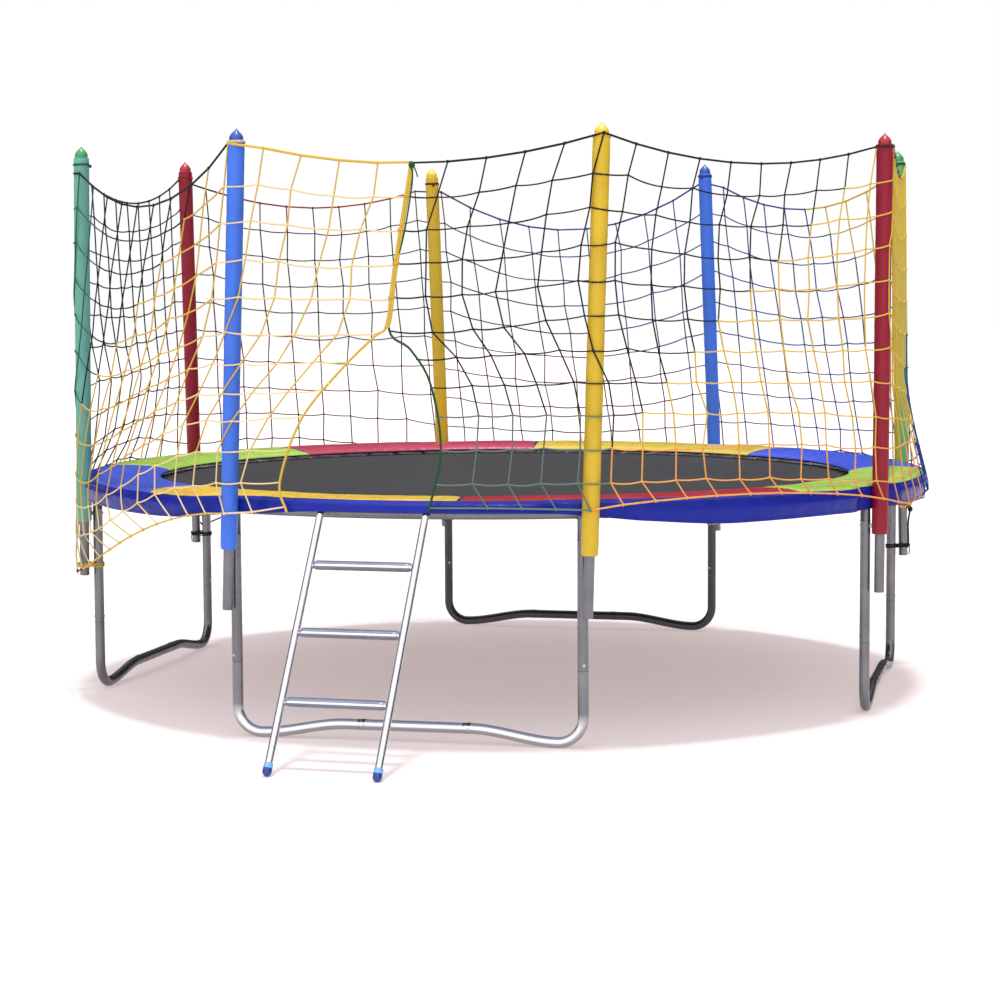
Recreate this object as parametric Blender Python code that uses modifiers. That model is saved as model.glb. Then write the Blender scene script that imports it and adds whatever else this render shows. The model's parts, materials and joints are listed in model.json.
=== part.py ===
"""Round garden trampoline with W-shaped legs, a padded spring cover, a safety net on eight
foam-sleeved poles and a hook-on ladder.

Metres, +Z up. The ladder side faces -Y. The origin is on the ground at the middle of the whole
footprint, ladder included, so the ring's own centre stands at RING_CENTRE_Y.
"""

import math

import bmesh
import bpy
from mathutils import Matrix, Vector

# ---- Driving dimensions ----------------------------------------------------------------------

FRAME_DIAMETER = 3.66  # over the ring tube, a 12 ft trampoline
TUBE_R = 0.021
TUBE_WALL = 0.0015
RING_R = FRAME_DIAMETER / 2 - TUBE_R
RING_Z = 0.904
GAP = 0.0005  # between pieces that touch

UPRIGHT_COUNT = 8
UPRIGHT_STEP = 360 / UPRIGHT_COUNT
FIRST_UPRIGHT = -67.5  # degrees, the right-hand one of the front leg

# Every tube joint is a thinner end pushed into the next tube.
SWAGE_R = 0.0172
SWAGE_LENGTH = 0.060
SWAGE_STEP = 0.0015

SOCKET_R = 0.0205
SOCKET_BOTTOM_Z = 0.800
RAIL_JOINT_OFFSET = 3.0  # degrees from an upright to the joint beside it

LEG_JOINT_Z = 0.300
LEG_CORNER_R = 0.099
LEG_BAR_RISE = 0.043
LEG_BAR_FLAT_HALF = 0.25

POLE_R = 0.019
POLE_WALL = 0.0012
POLE_BOTTOM_Z = 0.509
POLE_TIP_Z = 2.369
POLE_BOTTOM_RADIUS = 1.870
POLE_TIP_RADIUS = 1.850
POLE_BOTTOM_TURN = 0.20  # degrees past the upright it is clamped to
POLE_TIP_TURN = 2.16

SLEEVE_R = 0.032
SLEEVE_WALL = 0.0122
SLEEVE_BOTTOM_Z = 0.747
CAP_HEIGHT = 0.047
CAP_R = 0.027
CAP_SOCKET_DEPTH = 0.030
CAP_FIT = 0.0006  # between the pole and the cap's bore

MAT_R = 1.565
MAT_TOP_Z = 0.913
MAT_THICKNESS = 0.005

SPRING_COUNT = 72
SPRING_WIDTH = 0.010
SPRING_THICKNESS = 0.006
SPRING_OUTER_R = 1.784
SPRING_ROOT_R = 1.580
SPRING_INNER_R = 1.5665
SPRING_MIDDLE_Z = 0.905

PAD_INNER_R = 1.530
PAD_OUTER_R = 1.870
PAD_TOP_Z = 0.959
PAD_UNDERSIDE_Z = 0.9415
SKIRT_THICKNESS = 0.0025
SKIRT_BOTTOM_Z = 0.850
SKIRT_LIFT = 0.062  # the skirt rides up over the ladder
SKIRT_LIFT_HALF_ANGLE = 19.0
SKIRT_LIFT_FADE = 16.0
PAD_LIP_Z = 0.927  # the inner edge, over the mat
PAD_LIP_HEIGHT = 0.018
PAD_LIP_SET_BACK = 0.008
PAD_CREST_R = 1.70
PAD_EDGE_DROP = 0.010  # the bevel at the outer edge
PAD_DENT = PAD_OUTER_R - 1.8335  # where it passes between a pole and the ring
PAD_DENT_HALF_ANGLE = 3.3
PAD_DENT_FADE = 3.0
POLE_TURN_AT_PAD = 0.6  # degrees past the upright
# Where the padding is cut into sections, in degrees past each upright: close together at the dent.
PAD_SECTIONS = (-2.6, 0.6, 3.8, 7.0, 12.0, 17.2, 22.4, 27.6, 32.8, 38.0)

NET_THICKNESS = 0.0025
NET_STANDOFF = 0.0035
NET_ROUND_Z = 0.895  # from here down the net follows the round rim
NET_TOP_Z = 2.312
NET_SAG = 0.100
HEM_HIGH_Z = 0.895
HEM_LOW_Z = 0.560  # where the hem is tied to a pole's lower end
HEM_LIFT = 0.120  # how far it rises between two such poles
HEM_AT_POLES = (
    HEM_HIGH_Z,
    HEM_HIGH_Z,
    HEM_LOW_Z,
    HEM_LOW_Z,
    HEM_LOW_Z,
    HEM_LOW_Z,
    HEM_LOW_Z,
    HEM_HIGH_Z,
)
NET_TUCK = 0.060  # how much closer the hem comes between poles, as in NET_TUCK * u * (1 - u)
NET_ROWS = 8
NET_COLUMNS_PER_BAY = 8
DOOR_COLUMNS = 4
# The doorway's two edges, as (share of the bay from its left pole, height).
DOOR_LEFT = (
    (0.193, 0.895),
    (0.173, 1.020),
    (0.226, 1.257),
    (0.331, 1.448),
    (0.450, 1.600),
    (0.497, 2.220),
)
DOOR_RIGHT = (
    (0.580, 0.895),
    (0.607, 1.150),
    (0.573, 1.393),
    (0.516, 1.524),
    (0.456, 1.600),
    (0.503, 2.220),
)

LADDER_ANGLE = -92.6
LADDER_SLOPE = 34.0  # degrees from vertical
LADDER_WIDTH = 0.420  # between the rails' centre lines
LADDER_RAIL_R = 0.015
LADDER_STEPS = (0.250, 0.533, 0.816)
STEP_DEPTH = 0.048
STEP_THICKNESS = 0.036
HOOK_HALF_THICKNESS = 0.004
HOOK_HALF_WIDTH = 0.017
HOOK_CLEARANCE = 0.0032
HOOK_END = 200.0  # degrees round the ring tube
HOOK_FLAT_END = 0.070
HOOK_ROUND_START = 0.130
FOOT_R = 0.0175
FOOT_WALL = 0.0016
FOOT_LENGTH = 0.034

TAU = 2 * math.pi


# ---- Scene helpers ---------------------------------------------------------------------------


def clear_scene():
    for obj in list(bpy.data.objects):
        bpy.data.objects.remove(obj, do_unlink=True)


def new_collection(name):
    collection = bpy.data.collections.new(name)
    bpy.context.scene.collection.children.link(collection)
    return collection


def material(name, color, roughness, metallic=0.0):
    mat = bpy.data.materials.new(name)
    mat.use_nodes = True
    shader = mat.node_tree.nodes["Principled BSDF"]
    shader.inputs["Base Color"].default_value = (*color, 1.0)
    shader.inputs["Roughness"].default_value = roughness
    shader.inputs["Metallic"].default_value = metallic
    return mat


clear_scene()
TRAMPOLINE = new_collection("trampoline")
CUTTERS = new_collection("cutters")

STEEL = material("galvanised_steel", (0.42, 0.44, 0.46), 0.35, 1.0)
LADDER_METAL = material("ladder_metal", (0.75, 0.77, 0.80), 0.30, 1.0)
FOOT_BLUE = material("foot_blue", (0.10, 0.25, 0.55), 0.45)
SPRING_STEEL = material("spring_steel", (0.60, 0.60, 0.60), 0.30, 1.0)
MAT_GREY = material("mat_grey", (0.06, 0.06, 0.065), 0.75)
PAD_BLUE = material("pad_blue", (0.04, 0.07, 0.42), 0.30)
GREEN = material("pole_green", (0.12, 0.36, 0.24), 0.45)
BLUE = material("pole_blue", (0.06, 0.16, 0.55), 0.45)
YELLOW = material("pole_yellow", (0.75, 0.52, 0.04), 0.45)
CRIMSON = material("pole_crimson", (0.42, 0.02, 0.04), 0.45)
NET_BLACK = material("net_black", (0.02, 0.02, 0.025), 0.8)
NET_MAROON = material("net_maroon", (0.20, 0.02, 0.05), 0.8)
NET_YELLOW = material("net_yellow", (0.70, 0.55, 0.12), 0.8)
NET_GREEN = material("net_green", (0.02, 0.12, 0.06), 0.8)


def polar(radius, degrees, z=0.0):
    angle = math.radians(degrees)
    return Vector((radius * math.cos(angle), radius * math.sin(angle), z))


def smoothstep(t):
    t = min(max(t, 0.0), 1.0)
    return t * t * (3 - 2 * t)


# The ladder hangs on the ring tube: its pivot line is the tube's centre between the two hooks.
HINGE_OUT = math.sqrt(RING_R**2 - (LADDER_WIDTH / 2) ** 2)
SLOPE = math.radians(LADDER_SLOPE)
LADDER_YAW = math.radians(LADDER_ANGLE + 90)
RAIL_OFFSET = TUBE_R + HOOK_CLEARANCE + LADDER_RAIL_R
# along the rail, from beside the pivot line to the middle of the foot's dome, which meets the ground
LADDER_FOOT = (RING_Z + RAIL_OFFSET * math.sin(SLOPE) - FOOT_R) / math.cos(SLOPE)

# The footprint runs from the ladder's feet to the net's hem at the back.
FOOT_OUT = HINGE_OUT + RAIL_OFFSET * math.cos(SLOPE) + LADDER_FOOT * math.sin(SLOPE)
HALF_WIDTH_TURNED = LADDER_WIDTH / 2 * abs(math.sin(LADDER_YAW))
FRONT_REACH = FOOT_OUT * math.cos(LADDER_YAW) + HALF_WIDTH_TURNED + FOOT_R
HEM_SHARE = (HEM_LOW_Z + HEM_LIFT - POLE_BOTTOM_Z) / (POLE_TIP_Z - POLE_BOTTOM_Z)
POLE_RADIUS_AT_HEM = POLE_BOTTOM_RADIUS + (POLE_TIP_RADIUS - POLE_BOTTOM_RADIUS) * HEM_SHARE
BACK_REACH = POLE_RADIUS_AT_HEM + SLEEVE_R + NET_STANDOFF - NET_TUCK / 4 + NET_THICKNESS
RING_CENTRE_Y = (FRONT_REACH - BACK_REACH) / 2

ROOT = bpy.data.objects.new("trampoline_origin", None)
ROOT.location = (0, RING_CENTRE_Y, 0)
TRAMPOLINE.objects.link(ROOT)


def add_object(name, mesh, mat, parent=ROOT, collection=TRAMPOLINE):
    obj = bpy.data.objects.new(name, mesh)
    collection.objects.link(obj)
    obj.parent = parent
    mesh.materials.clear()
    mesh.materials.append(mat)
    return obj


def smooth(mesh, degrees=40):
    mesh.shade_smooth()
    mesh.set_sharp_from_angle(angle=math.radians(degrees))


# ---- Tubes -----------------------------------------------------------------------------------


def swept_mesh(name, points, radii, sides):
    """An open round tube surface along points, with its own radius at each point."""
    curve = bpy.data.curves.new(name, "CURVE")
    curve.dimensions = "3D"
    curve.bevel_depth = 1.0
    curve.bevel_resolution = (sides - 4) // 2
    curve.twist_mode = "MINIMUM"
    spline = curve.splines.new("POLY")
    spline.points.add(len(points) - 1)
    for slot, point, radius in zip(spline.points, points, radii):
        slot.co = (*point, 1.0)
        slot.radius = radius
    holder = bpy.data.objects.new(name, curve)
    CUTTERS.objects.link(holder)
    bpy.context.view_layer.update()
    evaluated = holder.evaluated_get(bpy.context.evaluated_depsgraph_get())
    mesh = bpy.data.meshes.new_from_object(evaluated)
    bpy.data.objects.remove(holder, do_unlink=True)
    weld(mesh)
    return mesh


def weld(mesh):
    work = bmesh.new()
    work.from_mesh(mesh)
    bmesh.ops.remove_doubles(work, verts=work.verts, dist=0.00002)
    bmesh.ops.recalc_face_normals(work, faces=work.faces)
    work.to_mesh(mesh)
    work.free()


def add_wall(obj, thickness):
    wall = obj.modifiers.new("wall", "SOLIDIFY")
    wall.thickness = thickness
    wall.offset = -1.0
    wall.use_even_offset = True
    return wall


def hollow_tube(name, points, radii, wall, mat, sides=8):
    mesh = swept_mesh(name, points, radii, sides)
    smooth(mesh)
    obj = add_object(name, mesh, mat)
    add_wall(obj, wall)
    return obj


# ---- Legs ------------------------------------------------------------------------------------


def leg_base_path():
    """Half of a W-shaped base in its own plane, as (sideways, height), from the joint inwards."""
    half = RING_R * math.sin(math.radians(UPRIGHT_STEP / 2))
    path = [(half, LEG_JOINT_Z - GAP), (half, LEG_CORNER_R + TUBE_R)]
    corner_steps = 4
    for step in range(1, corner_steps + 1):
        angle = math.radians(90 * step / corner_steps)
        path.append(
            (
                half - LEG_CORNER_R * (1 - math.cos(angle)),
                TUBE_R + LEG_CORNER_R * (1 - math.sin(angle)),
            )
        )
    rise_start = half - LEG_CORNER_R
    rise_steps = 3
    for step in range(1, rise_steps + 1):
        share = step / rise_steps
        sideways = rise_start + (LEG_BAR_FLAT_HALF - rise_start) * share
        path.append((sideways, TUBE_R + LEG_BAR_RISE * smoothstep(share)))
    return path


def build_legs():
    half_path = leg_base_path()
    full_path = half_path + [(-x, z) for x, z in reversed(half_path)]
    plane_distance = RING_R * math.cos(math.radians(UPRIGHT_STEP / 2))
    for leg in range(4):
        turn = Matrix.Rotation(math.radians(90 * leg), 3, "Z")
        points = [turn @ Vector((x, -plane_distance, z)) for x, z in full_path]
        hollow_tube(f"leg_base_{leg + 1}", points, [TUBE_R] * len(points), TUBE_WALL, STEEL)
    lower = LEG_JOINT_Z
    upper = SOCKET_BOTTOM_Z - GAP
    heights = (
        lower - SWAGE_LENGTH,
        lower,
        lower + SWAGE_STEP,
        upper - SWAGE_STEP,
        upper,
        upper + SWAGE_LENGTH,
    )
    radii = (SWAGE_R, SWAGE_R, TUBE_R, TUBE_R, SWAGE_R, SWAGE_R)
    for index in range(UPRIGHT_COUNT):
        angle = FIRST_UPRIGHT + UPRIGHT_STEP * index
        points = [polar(RING_R, angle, z) for z in heights]
        hollow_tube(f"leg_upright_{index + 1}", points, radii, TUBE_WALL, STEEL)


# ---- Ring ------------------------------------------------------------------------------------


def build_ring():
    """Eight curved rails, each with the socket for one upright welded under it."""
    gap_angle = math.degrees(GAP / RING_R)
    step_angle = math.degrees(SWAGE_STEP / RING_R)
    arc_steps = 8
    for index in range(UPRIGHT_COUNT):
        upright = FIRST_UPRIGHT + UPRIGHT_STEP * index
        end = upright + RAIL_JOINT_OFFSET
        start = end - UPRIGHT_STEP
        angles = [start + gap_angle]
        angles += [start + UPRIGHT_STEP * step / arc_steps for step in range(1, arc_steps)]
        angles += [end - step_angle]
        radii = [TUBE_R] * len(angles) + [SWAGE_R, SWAGE_R]
        points = [polar(RING_R, angle, RING_Z) for angle in angles + [end]]
        next_point = polar(RING_R, end + UPRIGHT_STEP / arc_steps, RING_Z)
        into_next = (next_point - points[-1]).normalized()
        points.append(points[-1] + into_next * SWAGE_LENGTH)
        rail = hollow_tube(f"frame_rail_{index + 1}", points, radii, TUBE_WALL, STEEL)
        add_socket(rail, upright, index)


def add_socket(rail, angle, index):
    points = [polar(RING_R, angle, z) for z in (SOCKET_BOTTOM_Z, RING_Z - TUBE_R / 2)]
    mesh = swept_mesh(f"socket_{index + 1}", points, [SOCKET_R, SOCKET_R], sides=8)
    socket = add_object(f"socket_{index + 1}", mesh, STEEL, collection=CUTTERS)
    add_wall(socket, TUBE_WALL)
    socket.hide_render = True
    socket.display_type = "WIRE"
    joint = rail.modifiers.new("socket", "BOOLEAN")
    joint.operation = "UNION"
    joint.object = socket


# ---- Net poles -------------------------------------------------------------------------------


def pole_point(index, z):
    """The centre of pole number index at height z, both counted as real numbers are."""
    upright = FIRST_UPRIGHT + UPRIGHT_STEP * index
    bottom = polar(POLE_BOTTOM_RADIUS, upright + POLE_BOTTOM_TURN, POLE_BOTTOM_Z)
    tip = polar(POLE_TIP_RADIUS, upright + POLE_TIP_TURN, POLE_TIP_Z)
    return bottom.lerp(tip, (z - POLE_BOTTOM_Z) / (POLE_TIP_Z - POLE_BOTTOM_Z))


def turned_mesh(name, profile, steps=12):
    """A closed body from a profile of (radius, height) that starts and ends on the axis."""
    work = bmesh.new()
    corners = [work.verts.new((x, 0, z)) for x, z in profile]
    edges = [work.edges.new(pair) for pair in zip(corners, corners[1:])]
    bmesh.ops.spin(work, geom=corners + edges, axis=(0, 0, 1), cent=(0, 0, 0), steps=steps, angle=TAU)
    bmesh.ops.remove_doubles(work, verts=work.verts, dist=0.00005)
    bmesh.ops.recalc_face_normals(work, faces=work.faces)
    mesh = bpy.data.meshes.new(name)
    work.to_mesh(mesh)
    work.free()
    return mesh


def cap_mesh(name):
    """A hollow onion-shaped cap with its open rim at z = 0."""
    bore = POLE_R + CAP_FIT
    profile = [
        (0.0, CAP_HEIGHT),
        (CAP_R * 0.20, CAP_HEIGHT * 0.87),
        (CAP_R * 0.60, CAP_HEIGHT * 0.64),
        (CAP_R * 0.92, CAP_HEIGHT * 0.38),
        (CAP_R, 0.0),
        (bore, 0.0),
        (bore, CAP_SOCKET_DEPTH),
        (0.0, CAP_SOCKET_DEPTH),
    ]
    return turned_mesh(name, profile)


def build_poles():
    colours = (YELLOW, CRIMSON, GREEN, BLUE, YELLOW, CRIMSON, GREEN, BLUE)
    cap_rim_z = POLE_TIP_Z - CAP_HEIGHT
    for index, colour in enumerate(colours):
        number = index + 1
        axis = (pole_point(index, 2.0) - pole_point(index, 1.0)).normalized()
        upright_to_axis = axis.to_track_quat("Z", "Y").to_matrix().to_4x4()

        pole_ends = [pole_point(index, z) for z in (POLE_BOTTOM_Z, cap_rim_z + CAP_SOCKET_DEPTH - GAP)]
        hollow_tube(f"net_pole_{number}", pole_ends, [POLE_R] * 2, POLE_WALL, STEEL, sides=12)

        sleeve_ends = [pole_point(index, z) for z in (SLEEVE_BOTTOM_Z, cap_rim_z - GAP)]
        hollow_tube(f"pole_sleeve_{number}", sleeve_ends, [SLEEVE_R] * 2, SLEEVE_WALL, colour, sides=12)

        mesh = cap_mesh(f"pole_cap_{number}")
        mesh.transform(Matrix.Translation(pole_point(index, cap_rim_z)) @ upright_to_axis)
        smooth(mesh)
        add_object(f"pole_cap_{number}", mesh, colour)


# ---- Bed, springs and padding ----------------------------------------------------------------


def build_mat():
    bpy.ops.mesh.primitive_cylinder_add(vertices=72, radius=MAT_R, depth=MAT_THICKNESS)
    obj = bpy.context.active_object
    obj.name = "jumping_mat"
    for collection in list(obj.users_collection):
        collection.objects.unlink(obj)
    TRAMPOLINE.objects.link(obj)
    obj.parent = ROOT
    obj.location = (0, 0, MAT_TOP_Z - MAT_THICKNESS / 2)
    obj.data.materials.append(MAT_GREY)


def build_springs():
    """One flat star: a ring at the mat's edge with a finger where each spring lies."""
    outline = []
    for index in range(SPRING_COUNT):
        middle = (index + 0.5) * 360 / SPRING_COUNT
        for radius, side in (
            (SPRING_ROOT_R, -1),
            (SPRING_OUTER_R, -1),
            (SPRING_OUTER_R, 1),
            (SPRING_ROOT_R, 1),
        ):
            half_angle = math.degrees(SPRING_WIDTH / 2 / radius)
            outline.append(polar(radius, middle + side * half_angle))
    hole = [polar(SPRING_INNER_R, (index + 0.5) * 360 / SPRING_COUNT) for index in range(SPRING_COUNT)]
    curve = bpy.data.curves.new("springs", "CURVE")
    curve.dimensions = "2D"
    curve.fill_mode = "BOTH"
    curve.extrude = SPRING_THICKNESS / 2
    for points in (outline, hole):
        spline = curve.splines.new("POLY")
        spline.points.add(len(points) - 1)
        for slot, point in zip(spline.points, points):
            slot.co = (point.x, point.y, 0.0, 1.0)
        spline.use_cyclic_u = True
    obj = bpy.data.objects.new("springs", curve)
    TRAMPOLINE.objects.link(obj)
    obj.parent = ROOT
    obj.location = (0, 0, SPRING_MIDDLE_Z)
    curve.materials.append(SPRING_STEEL)


def skirt_bottom(degrees):
    """The skirt hangs level except at the ladder, where it has ridden up."""
    from_ladder = abs((degrees - LADDER_ANGLE + 180) % 360 - 180)
    past = (from_ladder - SKIRT_LIFT_HALF_ANGLE) / SKIRT_LIFT_FADE
    return SKIRT_BOTTOM_Z + SKIRT_LIFT * (1 - smoothstep(past))


def pad_dent(degrees):
    """How far the edge is pushed in at this angle, by the nearest pole."""
    turned = degrees - FIRST_UPRIGHT - POLE_TURN_AT_PAD
    from_pole = abs((turned + UPRIGHT_STEP / 2) % UPRIGHT_STEP - UPRIGHT_STEP / 2)
    past = (from_pole - PAD_DENT_HALF_ANGLE) / PAD_DENT_FADE
    return PAD_DENT * (1 - smoothstep(past))


def pad_section(degrees):
    """The padding's outline at one angle, as (radius, height), with the skirt on its rim."""
    outer = PAD_OUTER_R - pad_dent(degrees)
    bottom = skirt_bottom(degrees)
    return [
        (PAD_INNER_R, PAD_LIP_Z),
        (PAD_INNER_R + PAD_LIP_SET_BACK, PAD_LIP_Z + PAD_LIP_HEIGHT),
        (PAD_CREST_R, PAD_TOP_Z),
        (outer - PAD_EDGE_DROP, PAD_TOP_Z),
        (outer, PAD_TOP_Z - PAD_EDGE_DROP),
        (outer, bottom),
        (outer - SKIRT_THICKNESS, bottom),
        (outer - SKIRT_THICKNESS, PAD_UNDERSIDE_Z),
    ]


def build_pad():
    """A loft round the ring, through a section that changes with the angle."""
    work = bmesh.new()
    rings = []
    for index in range(UPRIGHT_COUNT):
        for past_upright in PAD_SECTIONS:
            degrees = FIRST_UPRIGHT + UPRIGHT_STEP * index + past_upright
            rings.append([work.verts.new(polar(r, degrees, z)) for r, z in pad_section(degrees)])
    for here, there in zip(rings, rings[1:] + rings[:1]):
        for a, b in zip(range(len(here)), list(range(1, len(here))) + [0]):
            work.faces.new((here[a], here[b], there[b], there[a]))
    bmesh.ops.recalc_face_normals(work, faces=work.faces)
    mesh = bpy.data.meshes.new("spring_pad")
    work.to_mesh(mesh)
    work.free()
    smooth(mesh, 50)
    add_object("spring_pad", mesh, PAD_BLUE)


# ---- Safety net ------------------------------------------------------------------------------


def hem_height(bays):
    left = int(math.floor(bays)) % UPRIGHT_COUNT
    part = bays % 1.0
    ends = (HEM_AT_POLES[left], HEM_AT_POLES[(left + 1) % UPRIGHT_COUNT])
    lift = HEM_LIFT if ends == (HEM_LOW_Z, HEM_LOW_Z) else 0.0
    return ends[0] + (ends[1] - ends[0]) * part + lift * 4 * part * (1 - part)


def net_height(bays, share):
    """The height at a place along the net: share 0 is the hem and 1 the sagging top rope."""
    part = bays % 1.0
    top = NET_TOP_Z - NET_SAG * 4 * part * (1 - part)
    bottom = hem_height(bays)
    return bottom + (top - bottom) * share


def net_point(bays, share):
    """A point on the net, bays counted from the right front pole: round below, straight on top."""
    z = net_height(bays, share)
    left = int(math.floor(bays))
    part = bays - left
    if part > 0.999999:
        left, part = left + 1, 0.0
    ends = []
    for index in (left, left + 1):
        centre = pole_point(index, z)
        out = Vector((centre.x, centre.y, 0)).normalized()
        ends.append(Vector((centre.x, centre.y, 0)) + out * (SLEEVE_R + NET_STANDOFF))
    straight = ends[0].lerp(ends[1], part)
    radius = ends[0].length + (ends[1].length - ends[0].length) * part - NET_TUCK * part * (1 - part)
    first = math.degrees(math.atan2(ends[0].y, ends[0].x))
    round_point = polar(radius, first + UPRIGHT_STEP * part)
    straightness = min(max((z - NET_ROUND_Z) / (NET_TOP_Z - NET_ROUND_Z), 0.0), 1.0)
    point = round_point.lerp(straight, straightness)
    return Vector((point.x, point.y, z))


def net_sheet(name, columns, mat):
    """A sheet with one column of points per entry; an entry gives its place for each row's share."""
    work = bmesh.new()
    rows = [row / NET_ROWS for row in range(NET_ROWS + 1)]
    grid = [[work.verts.new(net_point(place(share), share)) for share in rows] for place in columns]
    for here, there in zip(grid, grid[1:]):
        for low in range(NET_ROWS):
            work.faces.new((here[low], there[low], there[low + 1], here[low + 1]))
    mesh = bpy.data.meshes.new(name)
    work.to_mesh(mesh)
    work.free()
    smooth(mesh)
    obj = add_object(name, mesh, mat)
    wall = obj.modifiers.new("cloth", "SOLIDIFY")
    wall.thickness = NET_THICKNESS
    wall.offset = 1.0
    return obj


def net_run(name, first_bay, last_bay, mat):
    count = NET_COLUMNS_PER_BAY * (last_bay - first_bay)
    places = [first_bay + (last_bay - first_bay) * step / count for step in range(count + 1)]
    places[0] += GAP
    places[-1] -= GAP
    return net_sheet(name, [lambda share, p=place: p for place in places], mat)


def along_edge(edge, share):
    """Where a doorway edge crosses a row, by straight runs between its points."""
    z = HEM_HIGH_Z + (NET_TOP_Z - NET_SAG - HEM_HIGH_Z) * share
    for (low_part, low_z), (high_part, high_z) in zip(edge, edge[1:]):
        if z <= high_z:
            return low_part + (high_part - low_part) * (z - low_z) / (high_z - low_z)
    return edge[-1][0]


def build_net():
    net_run("net_right", 0, 2, NET_BLACK)
    net_run("net_back", 2, 5, NET_MAROON)
    net_run("net_left", 5, 7, NET_YELLOW)
    door_bay = 7

    def left_place(step):
        def place(share):
            edge = along_edge(DOOR_LEFT, share)
            return door_bay + GAP + (edge - GAP) * step / DOOR_COLUMNS

        return place

    def right_place(step):
        def place(share):
            edge = along_edge(DOOR_RIGHT, share)
            return door_bay + edge + (1 - GAP - edge) * step / DOOR_COLUMNS

        return place

    steps = range(DOOR_COLUMNS + 1)
    net_sheet("net_door_left", [left_place(step) for step in steps], NET_YELLOW)
    net_sheet("net_door_right", [right_place(step) for step in steps], NET_GREEN)


# ---- Ladder ----------------------------------------------------------------------------------

# The ladder is laid out in a plane: `out` away from the trampoline, `up`, both from the pivot line.
RAIL_NORMAL = Vector((math.cos(SLOPE), math.sin(SLOPE)))
RAIL_DOWN = Vector((math.sin(SLOPE), -math.cos(SLOPE)))


def ladder_frame():
    """The empty that carries the ladder, on its pivot line, with -Y pointing away from the frame."""
    pivot = bpy.data.objects.new("ladder_pivot", None)
    TRAMPOLINE.objects.link(pivot)
    pivot.parent = ROOT
    pivot.location = polar(HINGE_OUT, LADDER_ANGLE, RING_Z)
    pivot.rotation_euler = (0, 0, LADDER_YAW)
    return pivot


def rail_stations():
    """(centre, normal, half thickness, half width) from the hook's end down to the foot."""
    stations = []
    hook_radius = TUBE_R + HOOK_CLEARANCE + HOOK_HALF_THICKNESS
    hook_steps = 9
    for step in range(hook_steps):
        angle = math.radians(HOOK_END + (LADDER_SLOPE - HOOK_END) * step / hook_steps)
        normal = Vector((math.cos(angle), math.sin(angle)))
        stations.append((normal * hook_radius, normal, HOOK_HALF_THICKNESS, HOOK_HALF_WIDTH))
    halfway = (HOOK_FLAT_END + HOOK_ROUND_START) / 2
    for along in (0.0, HOOK_FLAT_END, halfway, HOOK_ROUND_START, LADDER_FOOT - 2 * GAP):
        share = smoothstep((along - HOOK_FLAT_END) / (HOOK_ROUND_START - HOOK_FLAT_END))
        thickness = HOOK_HALF_THICKNESS + (LADDER_RAIL_R - HOOK_HALF_THICKNESS) * share
        width = HOOK_HALF_WIDTH + (LADDER_RAIL_R - HOOK_HALF_WIDTH) * share
        offset = TUBE_R + HOOK_CLEARANCE + thickness
        stations.append((RAIL_NORMAL * offset + RAIL_DOWN * along, RAIL_NORMAL, thickness, width))
    return stations


def rail_mesh(name, sideways):
    """A loft from the flattened hook to the round rail."""
    sides = 12
    work = bmesh.new()
    rings = []
    for centre, normal, thickness, width in rail_stations():
        ring = []
        for side in range(sides):
            angle = TAU * (side + 0.5) / sides
            across = width * math.cos(angle)
            lift = thickness * math.sin(angle)
            spot = centre + normal * lift
            ring.append(work.verts.new((sideways + across, -spot.x, spot.y)))
        rings.append(ring)
    for here, there in zip(rings, rings[1:]):
        for a in range(sides):
            b = (a + 1) % sides
            work.faces.new((here[a], here[b], there[b], there[a]))
    work.faces.new(rings[0])
    work.faces.new(list(reversed(rings[-1])))
    bmesh.ops.recalc_face_normals(work, faces=work.faces)
    mesh = bpy.data.meshes.new(name)
    work.to_mesh(mesh)
    work.free()
    smooth(mesh)
    return mesh


def foot_mesh(name):
    """A cup over the rail's end, with its dome's middle at the origin and its open rim above."""
    bore = FOOT_R - FOOT_WALL
    # one ring of the dome is turned down to the ground by the ladder's slope
    tilts = [math.radians(tilt) for tilt in (0, LADDER_SLOPE / 2, LADDER_SLOPE, 62, 90)]
    dome = [(FOOT_R * math.sin(tilt), -FOOT_R * math.cos(tilt)) for tilt in tilts]
    profile = dome + [(FOOT_R, FOOT_LENGTH), (bore, FOOT_LENGTH), (bore, 0.0), (0.0, 0.0)]
    mesh = turned_mesh(name, profile)
    smooth(mesh)
    return mesh


def step_mesh(name):
    """An oval tread tube lying along X."""
    length = LADDER_WIDTH - 2 * LADDER_RAIL_R - 2 * GAP
    work = bmesh.new()
    bmesh.ops.create_cone(work, cap_ends=True, segments=24, radius1=0.5, radius2=0.5, depth=length)
    mesh = bpy.data.meshes.new(name)
    work.to_mesh(mesh)
    work.free()
    mesh.transform(Matrix.Rotation(math.radians(90), 4, "Y"))
    mesh.transform(Matrix.Diagonal((1, STEP_DEPTH, STEP_THICKNESS, 1)))
    smooth(mesh)
    return mesh


def build_ladder():
    pivot = ladder_frame()
    for name, side in (("left", -1), ("right", 1)):
        sideways = side * LADDER_WIDTH / 2
        add_object(f"ladder_rail_{name}", rail_mesh(f"ladder_rail_{name}", sideways), LADDER_METAL, pivot)
        foot_name = f"ladder_foot_{name}"
        foot = add_object(foot_name, foot_mesh(foot_name), FOOT_BLUE, pivot)
        spot = RAIL_NORMAL * RAIL_OFFSET + RAIL_DOWN * LADDER_FOOT
        foot.location = (sideways, -spot.x, spot.y)
        foot.rotation_euler = (-SLOPE, 0, 0)
    for number, along in enumerate(LADDER_STEPS):
        name = f"ladder_step_{number + 1}"
        step = add_object(name, step_mesh(name), LADDER_METAL, pivot)
        spot = RAIL_NORMAL * RAIL_OFFSET + RAIL_DOWN * along
        step.location = (0, -spot.x, spot.y)


build_legs()
build_ring()
build_poles()
build_mat()
build_springs()
build_pad()
build_net()
build_ladder()
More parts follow.
